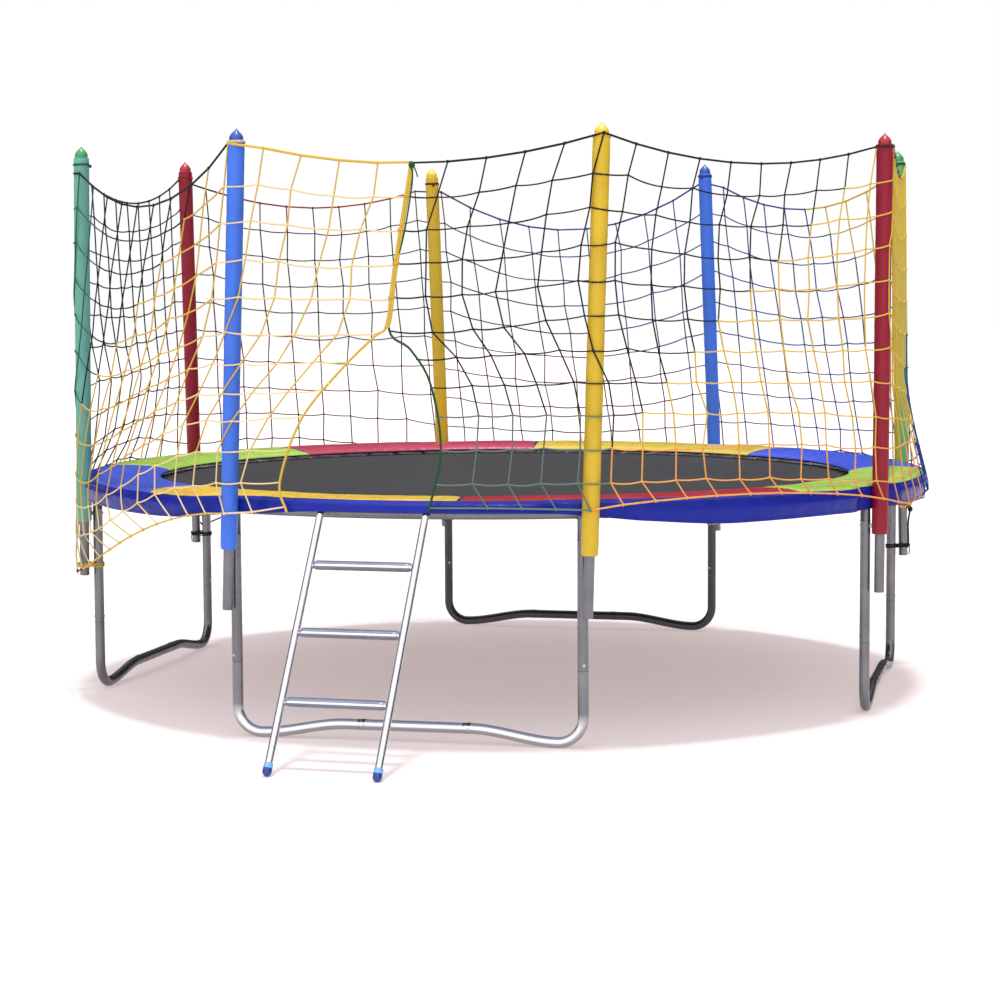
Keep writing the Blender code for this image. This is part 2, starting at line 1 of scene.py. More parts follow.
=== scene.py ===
"""Looks for the round trampoline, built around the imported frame.

Metres, +Z up. Angles are degrees round the ring, counted from +X. Uprights, poles, sleeves and
caps are numbered 1 to 8 from the right front one and go round to the right. A place along the
net is counted in bays the same way: 0 is the first pole, 1 the second, and the doorway lies
between 7 and 8, which is also between -1 and 0.
"""

import json
import random
from math import atan2, copysign, cos, exp, floor, pi, radians, sin, sqrt

import bpy
import numpy as np
from mathutils import Matrix, Vector, noise

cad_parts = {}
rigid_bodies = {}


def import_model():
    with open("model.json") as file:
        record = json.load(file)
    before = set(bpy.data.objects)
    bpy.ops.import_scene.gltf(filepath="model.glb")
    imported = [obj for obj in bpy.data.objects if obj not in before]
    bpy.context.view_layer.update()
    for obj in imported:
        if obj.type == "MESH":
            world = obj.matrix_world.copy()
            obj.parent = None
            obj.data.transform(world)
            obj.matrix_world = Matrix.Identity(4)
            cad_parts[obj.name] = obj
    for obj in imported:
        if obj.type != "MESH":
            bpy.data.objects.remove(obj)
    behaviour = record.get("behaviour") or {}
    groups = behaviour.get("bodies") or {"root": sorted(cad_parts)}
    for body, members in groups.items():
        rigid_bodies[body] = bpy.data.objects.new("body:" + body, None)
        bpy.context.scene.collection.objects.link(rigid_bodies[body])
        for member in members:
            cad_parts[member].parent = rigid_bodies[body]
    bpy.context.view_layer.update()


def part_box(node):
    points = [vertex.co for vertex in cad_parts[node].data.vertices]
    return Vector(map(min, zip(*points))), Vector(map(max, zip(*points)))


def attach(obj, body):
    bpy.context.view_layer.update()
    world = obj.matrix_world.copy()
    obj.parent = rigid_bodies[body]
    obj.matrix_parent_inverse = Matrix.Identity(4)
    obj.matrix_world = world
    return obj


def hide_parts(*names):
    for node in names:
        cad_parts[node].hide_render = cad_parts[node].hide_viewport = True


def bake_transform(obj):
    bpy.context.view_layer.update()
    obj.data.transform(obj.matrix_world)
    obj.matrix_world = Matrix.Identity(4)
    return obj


for leftover in list(bpy.data.objects):
    bpy.data.objects.remove(leftover, do_unlink=True)
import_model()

# ---- Sizes -----------------------------------------------------------------------------------

MAT_LOW, MAT_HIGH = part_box("jumping_mat")
CENTRE = np.array([(MAT_LOW.x + MAT_HIGH.x) / 2, (MAT_LOW.y + MAT_HIGH.y) / 2, 0.0])
MAT_TOP_Z = MAT_HIGH.z
UP = np.array([0.0, 0.0, 1.0])
FLAT = np.array([1, 1, 0])

TUBE_R = 0.021
RING_R = 1.809
RING_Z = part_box("frame_rail_1")[1].z - TUBE_R
STEP = 45.0
UPRIGHTS = [-67.5 + STEP * index for index in range(8)]
SOCKET_R = 0.0205
SOCKET_BOTTOM_Z = 0.800
RAIL_JOINT_OFFSET = 3.0
LEG_JOINT_Z = 0.300
LEG_CORNER_R = 0.099
LEG_BAR_RISE = 0.043
LEG_BAR_FLAT_HALF = 0.25
LEG_BAR_JOINTS = (0.23, -0.19)  # sideways places on each base bar

POLE_R = 0.0205
POLE_BOTTOM_Z = 0.509
POLE_TIP_Z = 2.369
POLE_BOTTOM = (1.870, 0.20)  # radius, and degrees past the upright
POLE_TIP = (1.850, 2.16)
SLEEVE_R = 0.0335
SLEEVE_BOTTOM_Z = 0.747
CAP_HEIGHT = 0.047
CAP_R = 0.027
BOLT_Z = 0.800
BOLT_TURNS = {1: -125, 2: 0, 3: 0, 4: 0, 5: 0}  # where a bolt head shows, in degrees from outwards

SPRING_COUNT = 72
SPRING_Z = 0.905
SPRING_R = 0.0092
SPRING_WIRE_R = 0.00135
PAD_INNER_R = 1.531
PAD_OUTER_R = 1.868
PAD_TOP_Z = 0.959
PAD_BOTTOM_Z = 0.9255
FIRST_PANEL = -82.5
SKIRT_TOP_Z = 0.9345
SKIRT_BOTTOM_Z = 0.850
SKIRT_LIFT = 0.062  # over the ladder
SKIRT_THICKNESS = 0.0018

NET_ROWS = 11
NET_STANDOFF = 0.0035
NET_ROUND_Z = 0.895  # round below this height, straight from pole to pole at the net's top
NET_TOP_Z = 2.312
NET_TUCK = 0.10
TAUT_BAYS = (1, 5)  # bays that are straight from this far above NET_ROUND_Z already
TAUT_RISE = 0.45
CHORD_BAY = 1  # the bay whose hem runs straight from pole to pole again below CHORD_Z
CHORD_Z = 0.856
FIRST_COLUMN = -4
LAST_COLUMN = 71
CORD_R = 0.0031
KNOT_R = 0.0048
HEM_R = 0.0038
ROPE_R = 0.0043
DOOR_ROPE_R = 0.0052
SQUARE = 0.1043  # of a bay
DOOR_SQUARE = 0.102
LOOSENESS = 0.0045
# The doorway's edges, as (share of the bay, height).
DOOR_LEFT = (
    *((0.196, 0.905), (0.173, 1.020), (0.226, 1.257), (0.331, 1.448)),
    *((0.417, 1.573), (0.450, 1.620), (0.462, 1.820), (0.494, 2.217)),
)
DOOR_RIGHT = (
    *((0.583, 0.918), (0.607, 1.150), (0.573, 1.393), (0.516, 1.524)),
    *((0.456, 1.600), (0.466, 1.820), (0.500, 2.217)),
)

LADDER_ANGLE = -92.6
LADDER_SLOPE = 34.0
LADDER_WIDTH = 0.420
RAIL_R = 0.015
LADDER_STEPS = (0.250, 0.533, 0.816)
TREAD_END = (0.016, 0.0125)  # half a tread's depth and thickness where it enters the rails
TREAD_GROWTH = (0.0078, 0.0055)
HOOK_CLEARANCE = 0.0032
HOOK_HALF_THICKNESS = 0.004
HOOK_HALF_WIDTH = 0.017
FOOT_R = 0.0175
HINGE_OUT = sqrt(RING_R**2 - (LADDER_WIDTH / 2) ** 2)


# ---- Numbers and places ----------------------------------------------------------------------


def smoothstep(t):
    t = min(max(t, 0.0), 1.0)
    return t * t * (3 - 2 * t)


def unit(vector):
    return vector / np.linalg.norm(vector)


def turns(count, offset=0.0):
    """Equally spaced angles round a circle, in radians."""
    return 2 * pi * (np.arange(count) + offset) / count


def polar(radius, degrees, z=0.0):
    angle = radians(degrees)
    return CENTRE + np.array([radius * cos(angle), radius * sin(angle), z])


def outward(degrees):
    return unit(polar(1.0, degrees) - CENTRE)


def away(point):
    """The level unit vector from the ring's axis towards a point."""
    return unit((point - CENTRE) * FLAT)


def tilted(out, degrees):
    return out * cos(radians(degrees)) + UP * sin(radians(degrees))


def away_from(degrees, other):
    """How many degrees lie between two directions, from 0 to 180."""
    return abs((degrees - other + 180) % 360 - 180)


def ripple(x, y, z=0.0):
    """Smooth noise from about -1 to 1."""
    return noise.noise(Vector((x, y, z)))


def table(value, pairs):
    """Reads a table of (place, number) pairs between its places."""
    return float(np.interp(value, *zip(*pairs)))


def pole_centre(index, z):
    """The axis of a pole at height z."""
    upright = UPRIGHTS[0] + STEP * index
    share = (z - POLE_BOTTOM_Z) / (POLE_TIP_Z - POLE_BOTTOM_Z)
    bottom = polar(POLE_BOTTOM[0], upright + POLE_BOTTOM[1], POLE_BOTTOM_Z)
    tip = polar(POLE_TIP[0], upright + POLE_TIP[1], POLE_TIP_Z)
    return bottom + (tip - bottom) * share


def smooth_path(points, per_span=6):
    """A Catmull-Rom curve through the points."""
    points = np.asarray(points, float)
    padded = np.vstack([2 * points[0] - points[1], points, 2 * points[-1] - points[-2]])
    made = []
    for a, b, c, d in zip(padded, padded[1:], padded[2:], padded[3:]):
        bend, twist = 2 * a - 5 * b + 4 * c - d, 3 * b - a - 3 * c + d
        for t in np.arange(per_span) / per_span:
            made.append(0.5 * (2 * b + (c - a) * t + bend * t * t + twist * t**3))
    return np.array(made + [points[-1]])


def lengths_along(path):
    steps = np.linalg.norm(np.diff(path, axis=0), axis=1)
    return np.concatenate([[0.0], np.cumsum(steps)])


def at_lengths(path, wanted):
    lengths = lengths_along(path)
    return np.stack([np.interp(wanted, lengths, path[:, axis]) for axis in range(3)], axis=1)


def at_height(points, z):
    """The point of a path at a height; its heights rise or fall steadily."""
    ordered = np.array(sorted(points, key=lambda point: point[2]))
    return np.array([np.interp(z, ordered[:, 2], ordered[:, axis]) for axis in range(3)])


# ---- Mesh building ---------------------------------------------------------------------------


def frames_along(path, up=None):
    """Two unit vectors square to the path at each of its points, turning as little as possible."""
    tangents = np.gradient(path, axis=0)
    tangents /= np.linalg.norm(tangents, axis=1)[:, None]
    normal = np.eye(3)[np.argmin(np.abs(tangents[0]))]
    normals = []
    for tangent in tangents:
        near = normal if up is None else up
        normal = unit(near - tangent * (tangent @ near))
        normals.append(normal)
    return np.array(normals), np.cross(tangents, normals)


class Shape:
    """Collects lofts, tubes and turned forms into one mesh, with a material slot for each face."""

    def __init__(self):
        self.points, self.faces, self.slots, self.count = [], [], [], 0

    def loft(self, rings, slot=0, caps=True, loop=False, flip=False):
        """Joins closed rings of equally many points. loop: the last meets the first."""
        rings = np.asarray(rings, float)
        if flip:
            rings = rings[:, ::-1]
        n, m = rings.shape[:2]
        i, j = np.meshgrid(np.arange(n if loop else n - 1), np.arange(m), indexing="ij")
        after_i, after_j = (i + 1) % n, (j + 1) % m
        corners = [i * m + j, i * m + after_j, after_i * m + after_j, after_i * m + j]
        quads = self.count + np.stack(corners, axis=-1).reshape(-1, 4)
        self.faces += quads.tolist()
        self.slots += slot if isinstance(slot, list) else [slot] * len(quads)
        if caps and not loop:
            self.faces.append(list(range(self.count + m - 1, self.count - 1, -1)))
            self.faces.append(list(range(self.count + (n - 1) * m, self.count + n * m)))
            self.slots += self.slots[-1:] * 2
        self.points.append(rings.reshape(-1, 3))
        self.count += n * m

    def tube(self, path, radius, sides=12, slot=0, caps=True, loop=False, up=None, oval=(1, 1)):
        path = np.asarray(path, float)
        radii = np.broadcast_to(np.asarray(radius, float), (len(path),))
        if loop:
            path = np.vstack([path[-1], path, path[0]])
        normals, across = frames_along(path, up)
        if loop:
            path, normals, across = path[1:-1], normals[1:-1], across[1:-1]
        angles = turns(sides, 0.5)[None, :, None]
        round_ = np.cos(angles) * normals[:, None, :] * oval[0]
        round_ = round_ + np.sin(angles) * across[:, None, :] * oval[1]
        self.loft(path[:, None, :] + radii[:, None, None] * round_, slot, caps, loop)

    def turned(self, profile, origin, axis=UP, sides=24, slot=0, squash=1.0):
        """A body turned about an axis, from (radius, height) pairs that start and end near it."""
        axis = unit(axis)
        across = unit(np.cross(axis, np.eye(3)[np.argmin(np.abs(axis))]))
        angles = turns(sides)[:, None]
        spokes = np.cos(angles) * across + np.sin(angles) * np.cross(axis, across) * squash
        self.loft([origin + r * spokes + h * axis for r, h in profile], slot)

    def ball(self, centre, radius, sides, slot, stretch=1.0):
        tilts = [radians(t) for t in (-80, -45, 0, 45, 80)]
        profile = [(radius * cos(t), radius * sin(t) * stretch) for t in tilts]
        self.turned(profile, centre, UP, sides, slot)

    def object(self, name, paints, finish=None, node=None, body="frame", sharp=50):
        mesh = bpy.data.meshes.new(name)
        mesh.from_pydata(np.concatenate(self.points).tolist(), [], self.faces)
        for paint in paints:
            mesh.materials.append(paint)
        mesh.polygons.foreach_set("material_index", self.slots)
        mesh.shade_smooth()
        mesh.set_sharp_from_angle(angle=radians(sharp))
        mesh.update()
        obj = bpy.data.objects.new(name, mesh)
        bpy.context.scene.collection.objects.link(obj)
        if body:
            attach(obj, body)
        if node:
            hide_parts(node)
        return obj


# ---- Materials -------------------------------------------------------------------------------


def shade(colour, factor=1.0):
    """A colour given as 0 to 255 on screen, as the shader wants it, made darker or lighter."""
    shares = [c / 255 for c in colour]
    linear = [c / 12.92 if c <= 0.04045 else ((c + 0.055) / 1.055) ** 2.4 for c in shares]
    return tuple(min(c * factor, 1.0) for c in linear)


class Nodes:
    """The node tree of a material or world."""

    def __init__(self, owner):
        owner.use_nodes = True
        self.tree = owner.node_tree

    def feed(self, socket, value):
        if hasattr(value, "is_output"):
            self.tree.links.new(value, socket)
        else:
            socket.default_value = (*value, 1.0) if socket.type == "RGBA" else value

    def node(self, kind, inputs, **settings):
        made = self.tree.nodes.new("ShaderNode" + kind)
        for key, value in settings.items():
            setattr(made, key, value)
        for key, value in inputs.items():
            self.feed(made.inputs[key], value)
        return made

    def split(self, vector):
        return self.node("SeparateXYZ", {0: vector}).outputs

    def sum(self, first, second, operation="ADD"):
        return self.node("Math", {0: first, 1: second}, operation=operation).outputs[0]

    def range(self, value, low, high, start=0.0, end=1.0, **settings):
        inputs = {"Value": value, "From Min": start, "From Max": end, "To Min": low, "To Max": high}
        return self.node("MapRange", inputs, **settings).outputs["Result"]

    def mix(self, factor, first, second):
        inputs = {"Factor": factor, 6: first, 7: second}
        return self.node("Mix", inputs, data_type="RGBA").outputs[2]


class Paint(Nodes):
    """A Principled material put together from node steps in object space."""

    def __init__(self, name, **values):
        self.material = bpy.data.materials.new(name)
        super().__init__(self.material)
        self.shader = self.tree.nodes["Principled BSDF"]
        for key, value in values.items():
            label = key.replace("_", " ").title().replace("Ior", "IOR")
            self.shader.inputs[label].default_value = value
        self.place = self.node("TexCoord", {}).outputs["Object"]

    def mapped(self, **inputs):
        return self.node("Mapping", {"Vector": self.place, **inputs}).outputs["Vector"]

    def noise(self, scale, detail=3.0, rough=0.5, vector=None):
        inputs = {"Scale": scale, "Detail": detail, "Roughness": rough}
        return self.node("TexNoise", {"Vector": vector or self.place, **inputs}).outputs["Fac"]

    def stripes(self, scale, direction, distortion=0.0, vector=None):
        inputs = {"Vector": vector or self.place, "Scale": scale, "Distortion": distortion}
        return self.node("TexWave", inputs, bands_direction=direction).outputs["Fac"]

    def mottled(self, source, colour, dark, light, start=0.3, end=0.7):
        """The colour darker where the source is low and lighter where it is high."""
        share = self.range(source, 0.0, 1.0, start, end)
        return self.mix(share, shade(colour, dark), shade(colour, light))

    def colour(self, value):
        self.feed(self.shader.inputs["Base Color"], value)

    def roughness(self, source, low, high):
        rough = self.range(source, low, high, 0.3, 0.7)
        self.feed(self.shader.inputs["Roughness"], rough)
        return rough

    def bump(self, height, distance, strength):
        inputs = {"Distance": distance, "Strength": strength, "Height": height}
        self.feed(self.shader.inputs["Normal"], self.node("Bump", inputs).outputs["Normal"])


def steel(name, colour, rough, metallic=0.85, painted_highlight=None):
    """Galvanised tube: faint spangle and a few duller patches."""
    paint = Paint(name, metallic=metallic)
    tone = paint.mottled(paint.noise(9.0, 4.0), colour, 0.84, 1.10)
    cells = paint.node("TexVoronoi", {"Vector": paint.place, "Scale": 140.0}).outputs["Distance"]
    tone = paint.mix(paint.range(cells, 0.0, 0.25, 0.1, 0.7), tone, shade(colour, 1.12))
    if painted_highlight:
        # Painted light on one base bar near the floor: a painted white highlight along its front, a
        # painted bluish sky reflection on its top and painted shade on its underside.
        facing = paint.split(paint.node("NewGeometry", {}).outputs["Normal"])["Z"]
        under = paint.range(facing, 1.0, 0.0, -0.25, 0.10)
        painted_reflection = paint.mix(under, shade(painted_highlight), shade(painted_highlight, 0.42))
        crest = paint.range(facing, 0.0, 1.0, 0.42, 0.66)
        painted_reflection = paint.mix(crest, painted_reflection, shade((158, 164, 188)))
        crest_metallic = paint.range(facing, metallic, 0.25, 0.42, 0.66)
        paint.feed(paint.shader.inputs["Metallic"], crest_metallic)
        low = paint.range(paint.split(paint.place)["Z"], 1.0, 0.0, 0.080, 0.135)
        tone = paint.mix(low, tone, painted_reflection)
    paint.colour(tone)
    paint.roughness(paint.noise(26.0, 5.0), *rough)
    paint.bump(paint.noise(420.0, 2.0), 0.0004, 0.35)
    return paint.material


def bright_metal(name, colour, rough):
    """Polished aluminium with fine drawn lines and finger marks, and duller at its top."""
    paint = Paint(name, metallic=1.0)
    paint.colour(paint.mottled(paint.noise(14.0, 4.0), colour, 0.93, 1.0, 0.35))
    worn = paint.range(paint.split(paint.place)["Z"], 0.0, 0.35, 0.84, 0.90)
    even = paint.roughness(paint.noise(30.0, 4.0), *rough)
    paint.feed(paint.shader.inputs["Roughness"], paint.sum(even, worn))
    lines = paint.noise(60.0, 2.0, vector=paint.mapped(Scale=(1.0, 14.0, 14.0)))
    paint.bump(lines, 0.0003, 0.25)
    return paint.material


def moulded(name, colour, rough=0.30):
    """Injection-moulded plastic with a faint orange peel."""
    paint = Paint(name, coat_weight=0.25, coat_roughness=0.15)
    paint.colour(paint.mottled(paint.noise(35.0, 3.0), colour, 0.9, 1.08))
    paint.roughness(paint.noise(80.0), rough - 0.06, rough + 0.1)
    paint.bump(paint.noise(500.0, 2.0), 0.0003, 0.2)
    return paint.material


def foam(name, colour, faded=None):
    """Sleeve of foam in a thin vinyl skin: soft dents, fine pores and scuffs."""
    paint = Paint(name, specular_ior_level=0.3, coat_weight=0.12, coat_roughness=0.25)
    base = paint.mottled(paint.noise(5.0, 4.0), colour, 0.90, 1.07)
    if faded:
        # The left half of one sleeve has gone yellow; its pole leans, so the line leans with it.
        inputs = {0: paint.place, 1: (1.0, 0.0, 0.0236)}
        along = paint.node("VectorMath", inputs, operation="DOT_PRODUCT").outputs["Value"]
        base = paint.mix(paint.range(along, 0.0, 1.0, 1.722, 1.738), shade(faded), base)
    scuffs = paint.range(paint.noise(60.0, 6.0, 0.7), 0.0, 0.5, 0.62, 0.80)
    paint.colour(paint.mix(scuffs, base, shade(colour, 1.45)))
    paint.roughness(paint.noise(22.0, 4.0), 0.34, 0.52)
    dents = paint.noise(16.0, 2.0, vector=paint.mapped(Scale=(1.0, 1.0, 0.45)))
    pores = paint.range(paint.noise(700.0, 2.0), 0.0, 0.05)
    paint.bump(paint.sum(paint.range(dents, 0.0, 1.0), pores), 0.0022, 0.5)
    return paint.material


def vinyl(name, colour, shine=0.26, wrinkle=0.5, gloss=0.35):
    """Coated polyester: a scrim of fine threads under a glossy skin, with creases and soiling."""
    paint = Paint(name, specular_ior_level=gloss, coat_weight=gloss / 3, coat_roughness=0.18)
    base = paint.mottled(paint.noise(11.0, 5.0, 0.6), colour, 0.88, 1.05, 0.35, 0.75)
    creases = paint.noise(26.0, 5.0, 0.62)
    worn = paint.range(creases, 0.0, 0.35, 0.60, 0.75)
    paint.colour(paint.mix(worn, base, shade(colour, 1.3)))
    paint.roughness(creases, shine - 0.05, shine + 0.16)
    threads = paint.sum(paint.stripes(160.0, "X"), paint.stripes(160.0, "Y"), "MULTIPLY")
    height = paint.sum(paint.range(creases, 0.0, 1.0), paint.range(threads, 0.0, 0.04))
    paint.bump(height, 0.0035, wrinkle)
    return paint.material


def woven(name, colour, pitch, light=1.7):
    """Plain weave of flat tape, with the threads' own sheen."""
    paint = Paint(name, specular_ior_level=0.2)
    warp, weft = [paint.stripes(1.0 / pitch / 6.28, direction, 0.4) for direction in "XY"]
    weave = paint.sum(warp, weft, "MULTIPLY")
    base = paint.mottled(paint.noise(2.2, 4.0), colour, 0.92, 1.10)
    paint.colour(paint.mix(paint.range(weave, 0.0, 0.6), base, shade(colour, light)))
    paint.roughness(paint.noise(40.0, 3.0), 0.55, 0.75)
    paint.bump(weave, 0.0006, 0.4)
    return paint.material


def cord_paint(name, colour):
    """Twisted polyethylene cord: strands at an angle and a fuzz of loose fibres."""
    paint = Paint(name, specular_ior_level=0.25)
    strands = paint.stripes(95.0, "Z", 0.8, paint.mapped(Rotation=(0.6, 0.5, 0.7)))
    tone = paint.mottled(strands, colour, 0.80, 1.12, 0.0, 1.0)
    fibres = paint.range(paint.noise(320.0, 3.0), 0.0, 0.3, 0.5, 0.8)
    paint.colour(paint.mix(fibres, tone, shade(colour, 1.35)))
    paint.roughness(paint.noise(200.0), 0.45, 0.7)
    paint.bump(strands, 0.0008, 0.5)
    return paint.material


GALVANISED = steel("galvanised_steel", (120, 122, 127), (0.22, 0.36))
# A lit copy of the galvanised steel for the front base bar: painted highlight, painted sky
# reflection and painted shade near the floor.
GALVANISED_PAINTED_HIGHLIGHT = steel(
    "galvanised_steel_painted_highlight", (126, 128, 133), (0.15, 0.24), 0.86, (244, 246, 250)
)
# A darker copy of the galvanised steel for the back base bar and the back uprights: painted shade.
GALVANISED_PAINTED_SHADE = steel("galvanised_steel_painted_shade", (84, 85, 91), (0.28, 0.42))
SPRING_STEEL = steel("spring_steel", (170, 170, 172), (0.22, 0.36), 1.0)
LADDER_METAL = bright_metal("ladder_metal", (238, 240, 246), (0.10, 0.20))
# The treads' tops: a rougher finish for their ribs, in a darker bluish grey that is a painted sky
# reflection.
TREAD_TOP = steel("tread_top", (122, 126, 146), (0.40, 0.55), 0.55)
# The treads' undersides: a darker copy of the ladder metal, painted shade.
TREAD_PAINTED_SHADE = bright_metal("tread_painted_shade", (126, 129, 139), (0.22, 0.34))
BOLT_ZINC = bright_metal("bolt_zinc", (205, 205, 208), (0.2, 0.35))
PLUG_DARK = moulded("joint_plug", (48, 50, 54), 0.5)
FOOT_LIGHT = moulded("foot_light_blue", (112, 164, 226))
FOOT_DARK = moulded("foot_dark_blue", (24, 52, 132))

POLE_COLOURS = ("yellow", "crimson", "green", "blue") * 2
SLEEVE_COLOURS = ((208, 174, 40), (140, 8, 40), (99, 167, 152), (60, 112, 222))
CAP_COLOURS = ((232, 196, 60), (168, 28, 44), (60, 146, 92), (42, 78, 168))
SLEEVES = [foam(f"sleeve_{key}", colour) for key, colour in zip(POLE_COLOURS, SLEEVE_COLOURS)] * 2
SLEEVES[2] = foam("sleeve_green_faded", (96, 166, 108), (188, 176, 44))
CAPS = [moulded(f"cap_{key}", colour) for key, colour in zip(POLE_COLOURS, CAP_COLOURS)] * 2

PANEL_COLOURS = (
    ("red", (186, 34, 50)),
    ("lime", (178, 212, 94)),
    ("blue", (66, 88, 216)),
    ("yellow", (208, 180, 68)),
    ("rose", (178, 58, 86)),
    ("lime_left", (160, 200, 84)),
    ("blue_left", (70, 92, 214)),
    # The near yellow panel is the far yellow panel's colour painted lighter: a painted highlight.
    ("yellow_left", (244, 202, 74)),
)
SKIRT_BLUE = vinyl("skirt_blue", (27, 39, 148), 0.27, 0.6, 0.13)
PAD_LINING = vinyl("pad_lining", (22, 20, 62), 0.45, 0.4)
THREAD = woven("stitching", (60, 60, 66), 0.0006)
MAT_CLOTH = woven("mat_cloth", (52, 52, 55), 0.0022, 1.35)
WEBBING = woven("webbing_black", (26, 26, 30), 0.0012)

CORDS = {
    "black": (16, 17, 21),
    "teal": (44, 92, 82),
    "grey_green": (92, 112, 100),
    "maroon": (76, 16, 30),
    "crimson": (140, 20, 36),
    "blue": (22, 58, 132),
    "yellow": (208, 172, 66),
    "cream": (226, 202, 146),
    "orange": (222, 156, 78),
    "green": (18, 74, 36),
}
CORD_PAINTS = [cord_paint(f"cord_{key}", colour) for key, colour in CORDS.items()]
CORD_SLOTS = {key: slot for slot, key in enumerate(CORDS)}


# ---- Steel tubes -----------------------------------------------------------------------------


def swaged(path, joints, spacing=0.012):
    """The path again, with stations close together at each joint, and the radius at each of them.

    At a joint the tube before it is flared a little, and its edge shows as a groove.
    """
    total = lengths_along(path)[-1]
    wanted = set(np.linspace(0, total, int(total / spacing) + 2))
    stations = (-0.024, -0.012, -0.006, -0.001, 0.0, 0.0003, 0.0022, 0.0026, 0.008)
    wanted |= {joint + station for joint in joints for station in stations}
    wanted = np.array(sorted(w for w in wanted if 0 <= w <= total))
    radii = np.full(len(wanted), TUBE_R)
    for joint in joints:
        past = wanted - joint
        flare = np.where(past <= 0, 0.0012 * np.exp(-((past / 0.014) ** 2)), 0.0)
        groove = np.where((past > 0.0002) & (past < 0.0024), -0.0024, 0.0)
        radii = radii + flare + groove
    return at_lengths(path, wanted), radii


def screw(shape, spot, axis, slot, radius=0.0048):
    """A small pan-head screw on a washer."""
    profile = [(0.0002, -0.003), (radius * 1.55, -0.003), (radius * 1.55, 0.0008), (radius, 0.001)]
    profile += [(radius * 0.94, 0.0026), (radius * 0.6, 0.0038), (0.0002, 0.0041)]
    shape.turned(profile, spot, axis, 16, slot)


def leg_base_path():
    """The W-shaped base in its own plane, as (sideways, height) from right to left."""
    half = RING_R * sin(radians(STEP / 2))
    side = [(half, LEG_JOINT_Z - 0.0005), (half, LEG_CORNER_R + TUBE_R)]
    for step in range(1, 13):
        angle = radians(90 * step / 12)
        sideways = half - LEG_CORNER_R * (1 - cos(angle))
        side.append((sideways, TUBE_R + LEG_CORNER_R * (1 - sin(angle))))
    rise_start = half - LEG_CORNER_R
    for step in range(1, 15):
        share = step / 14
        sideways = rise_start + (LEG_BAR_FLAT_HALF - rise_start) * share
        side.append((sideways, TUBE_R + LEG_BAR_RISE * smoothstep(share)))
    return side + [(-x, z) for x, z in reversed(side)]


def bar_joint(shape, spot, across, out):
    """A joint's screw, with a dark plug on the tube's top and dark strips round its upper front:
    both are painted shade for the notch at the joint.
    """
    plug = [(0.0002, -0.002), (0.0095, -0.002), (0.0095, 0.0004), (0.006, 0.0012), (0.0002, 0.0014)]
    shape.turned(plug, spot + UP * TUBE_R, UP, 18, 1, 0.55)
    screw(shape, spot + out * TUBE_R, out, 2, 0.0032)
    # Dark strips as painted shade for the notch at the joint.
    for place in np.linspace(-0.023, 0.003, 10):
        around = [tilted(out, lift) * (TUBE_R - 0.0002) for lift in np.linspace(36, 84, 6)]
        shape.tube([spot + across * place + spoke for spoke in around], 0.0017, 6, 1)


def build_legs():
    outline = leg_base_path()
    distance = RING_R * cos(radians(STEP / 2))
    # The front base bar takes the painted highlight; the back one takes the darker copy of the
    # steel, painted shade.
    paints = (GALVANISED_PAINTED_HIGHLIGHT, GALVANISED, GALVANISED_PAINTED_SHADE, GALVANISED)
    for leg, paint in enumerate(paints):
        turn = pi / 2 * leg
        across = np.array([cos(turn), sin(turn), 0.0])
        out = np.cross(across, UP)
        path = np.array([CENTRE + across * x + out * distance + UP * z for x, z in outline])
        lengths = lengths_along(path)
        sideways = np.array([x for x, _ in outline])
        joints = [float(np.interp(-x, -sideways, lengths)) for x in LEG_BAR_JOINTS]
        shape = Shape()
        shape.tube(*swaged(path, joints), 28, 0, up=out)
        for spot in at_lengths(path, [joint - 0.016 for joint in joints]):
            bar_joint(shape, spot, across, out)
        paints = [paint, PLUG_DARK, BOLT_ZINC]
        shape.object(f"leg_base_tube_{leg + 1}", paints, "galvanised_steel", f"leg_base_{leg + 1}")
    for index, angle in enumerate(UPRIGHTS):
        heights = (LEG_JOINT_Z, 0.55, SOCKET_BOTTOM_Z - 0.0006)
        points, _ = swaged(np.array([polar(RING_R, angle, z) for z in heights]), (0.001,))
        radii = np.where(lengths_along(points) < 0.001, TUBE_R - 0.0022, TUBE_R)
        shape = Shape()
        shape.tube(points, radii, 28, 0)
        for side in (1, -1):
            spot = polar(RING_R + TUBE_R * side, angle, LEG_JOINT_Z + 0.024)
            screw(shape, spot, outward(angle) * side, 1, 0.0034)
        # The two back uprights take the darker copy of the steel: painted shade.
        paints = [GALVANISED_PAINTED_SHADE if index in (3, 4) else GALVANISED, BOLT_ZINC]
        node = f"leg_upright_{index + 1}"
        shape.object(f"upright_tube_{index + 1}", paints, "galvanised_steel", node)


def weld_bead(shape, degrees, slot):
    """The rounded, uneven weld where a socket meets the underside of the ring tube."""
    out = outward(degrees)
    along = np.cross(UP, out)
    reach = SOCKET_R + 0.001
    path = []
    for turn in turns(40):
        x = reach * cos(turn)
        drop = sqrt(max(TUBE_R**2 - min(abs(x), TUBE_R * 0.985) ** 2, 0.0))
        spot = polar(RING_R, degrees, RING_Z - drop)
        path.append(spot + out * x + along * reach * sin(turn))
    radii = [0.0034 + 0.0007 * sin(step * 2.4) for step in range(40)]
    shape.tube(path, radii, 8, slot, loop=True)


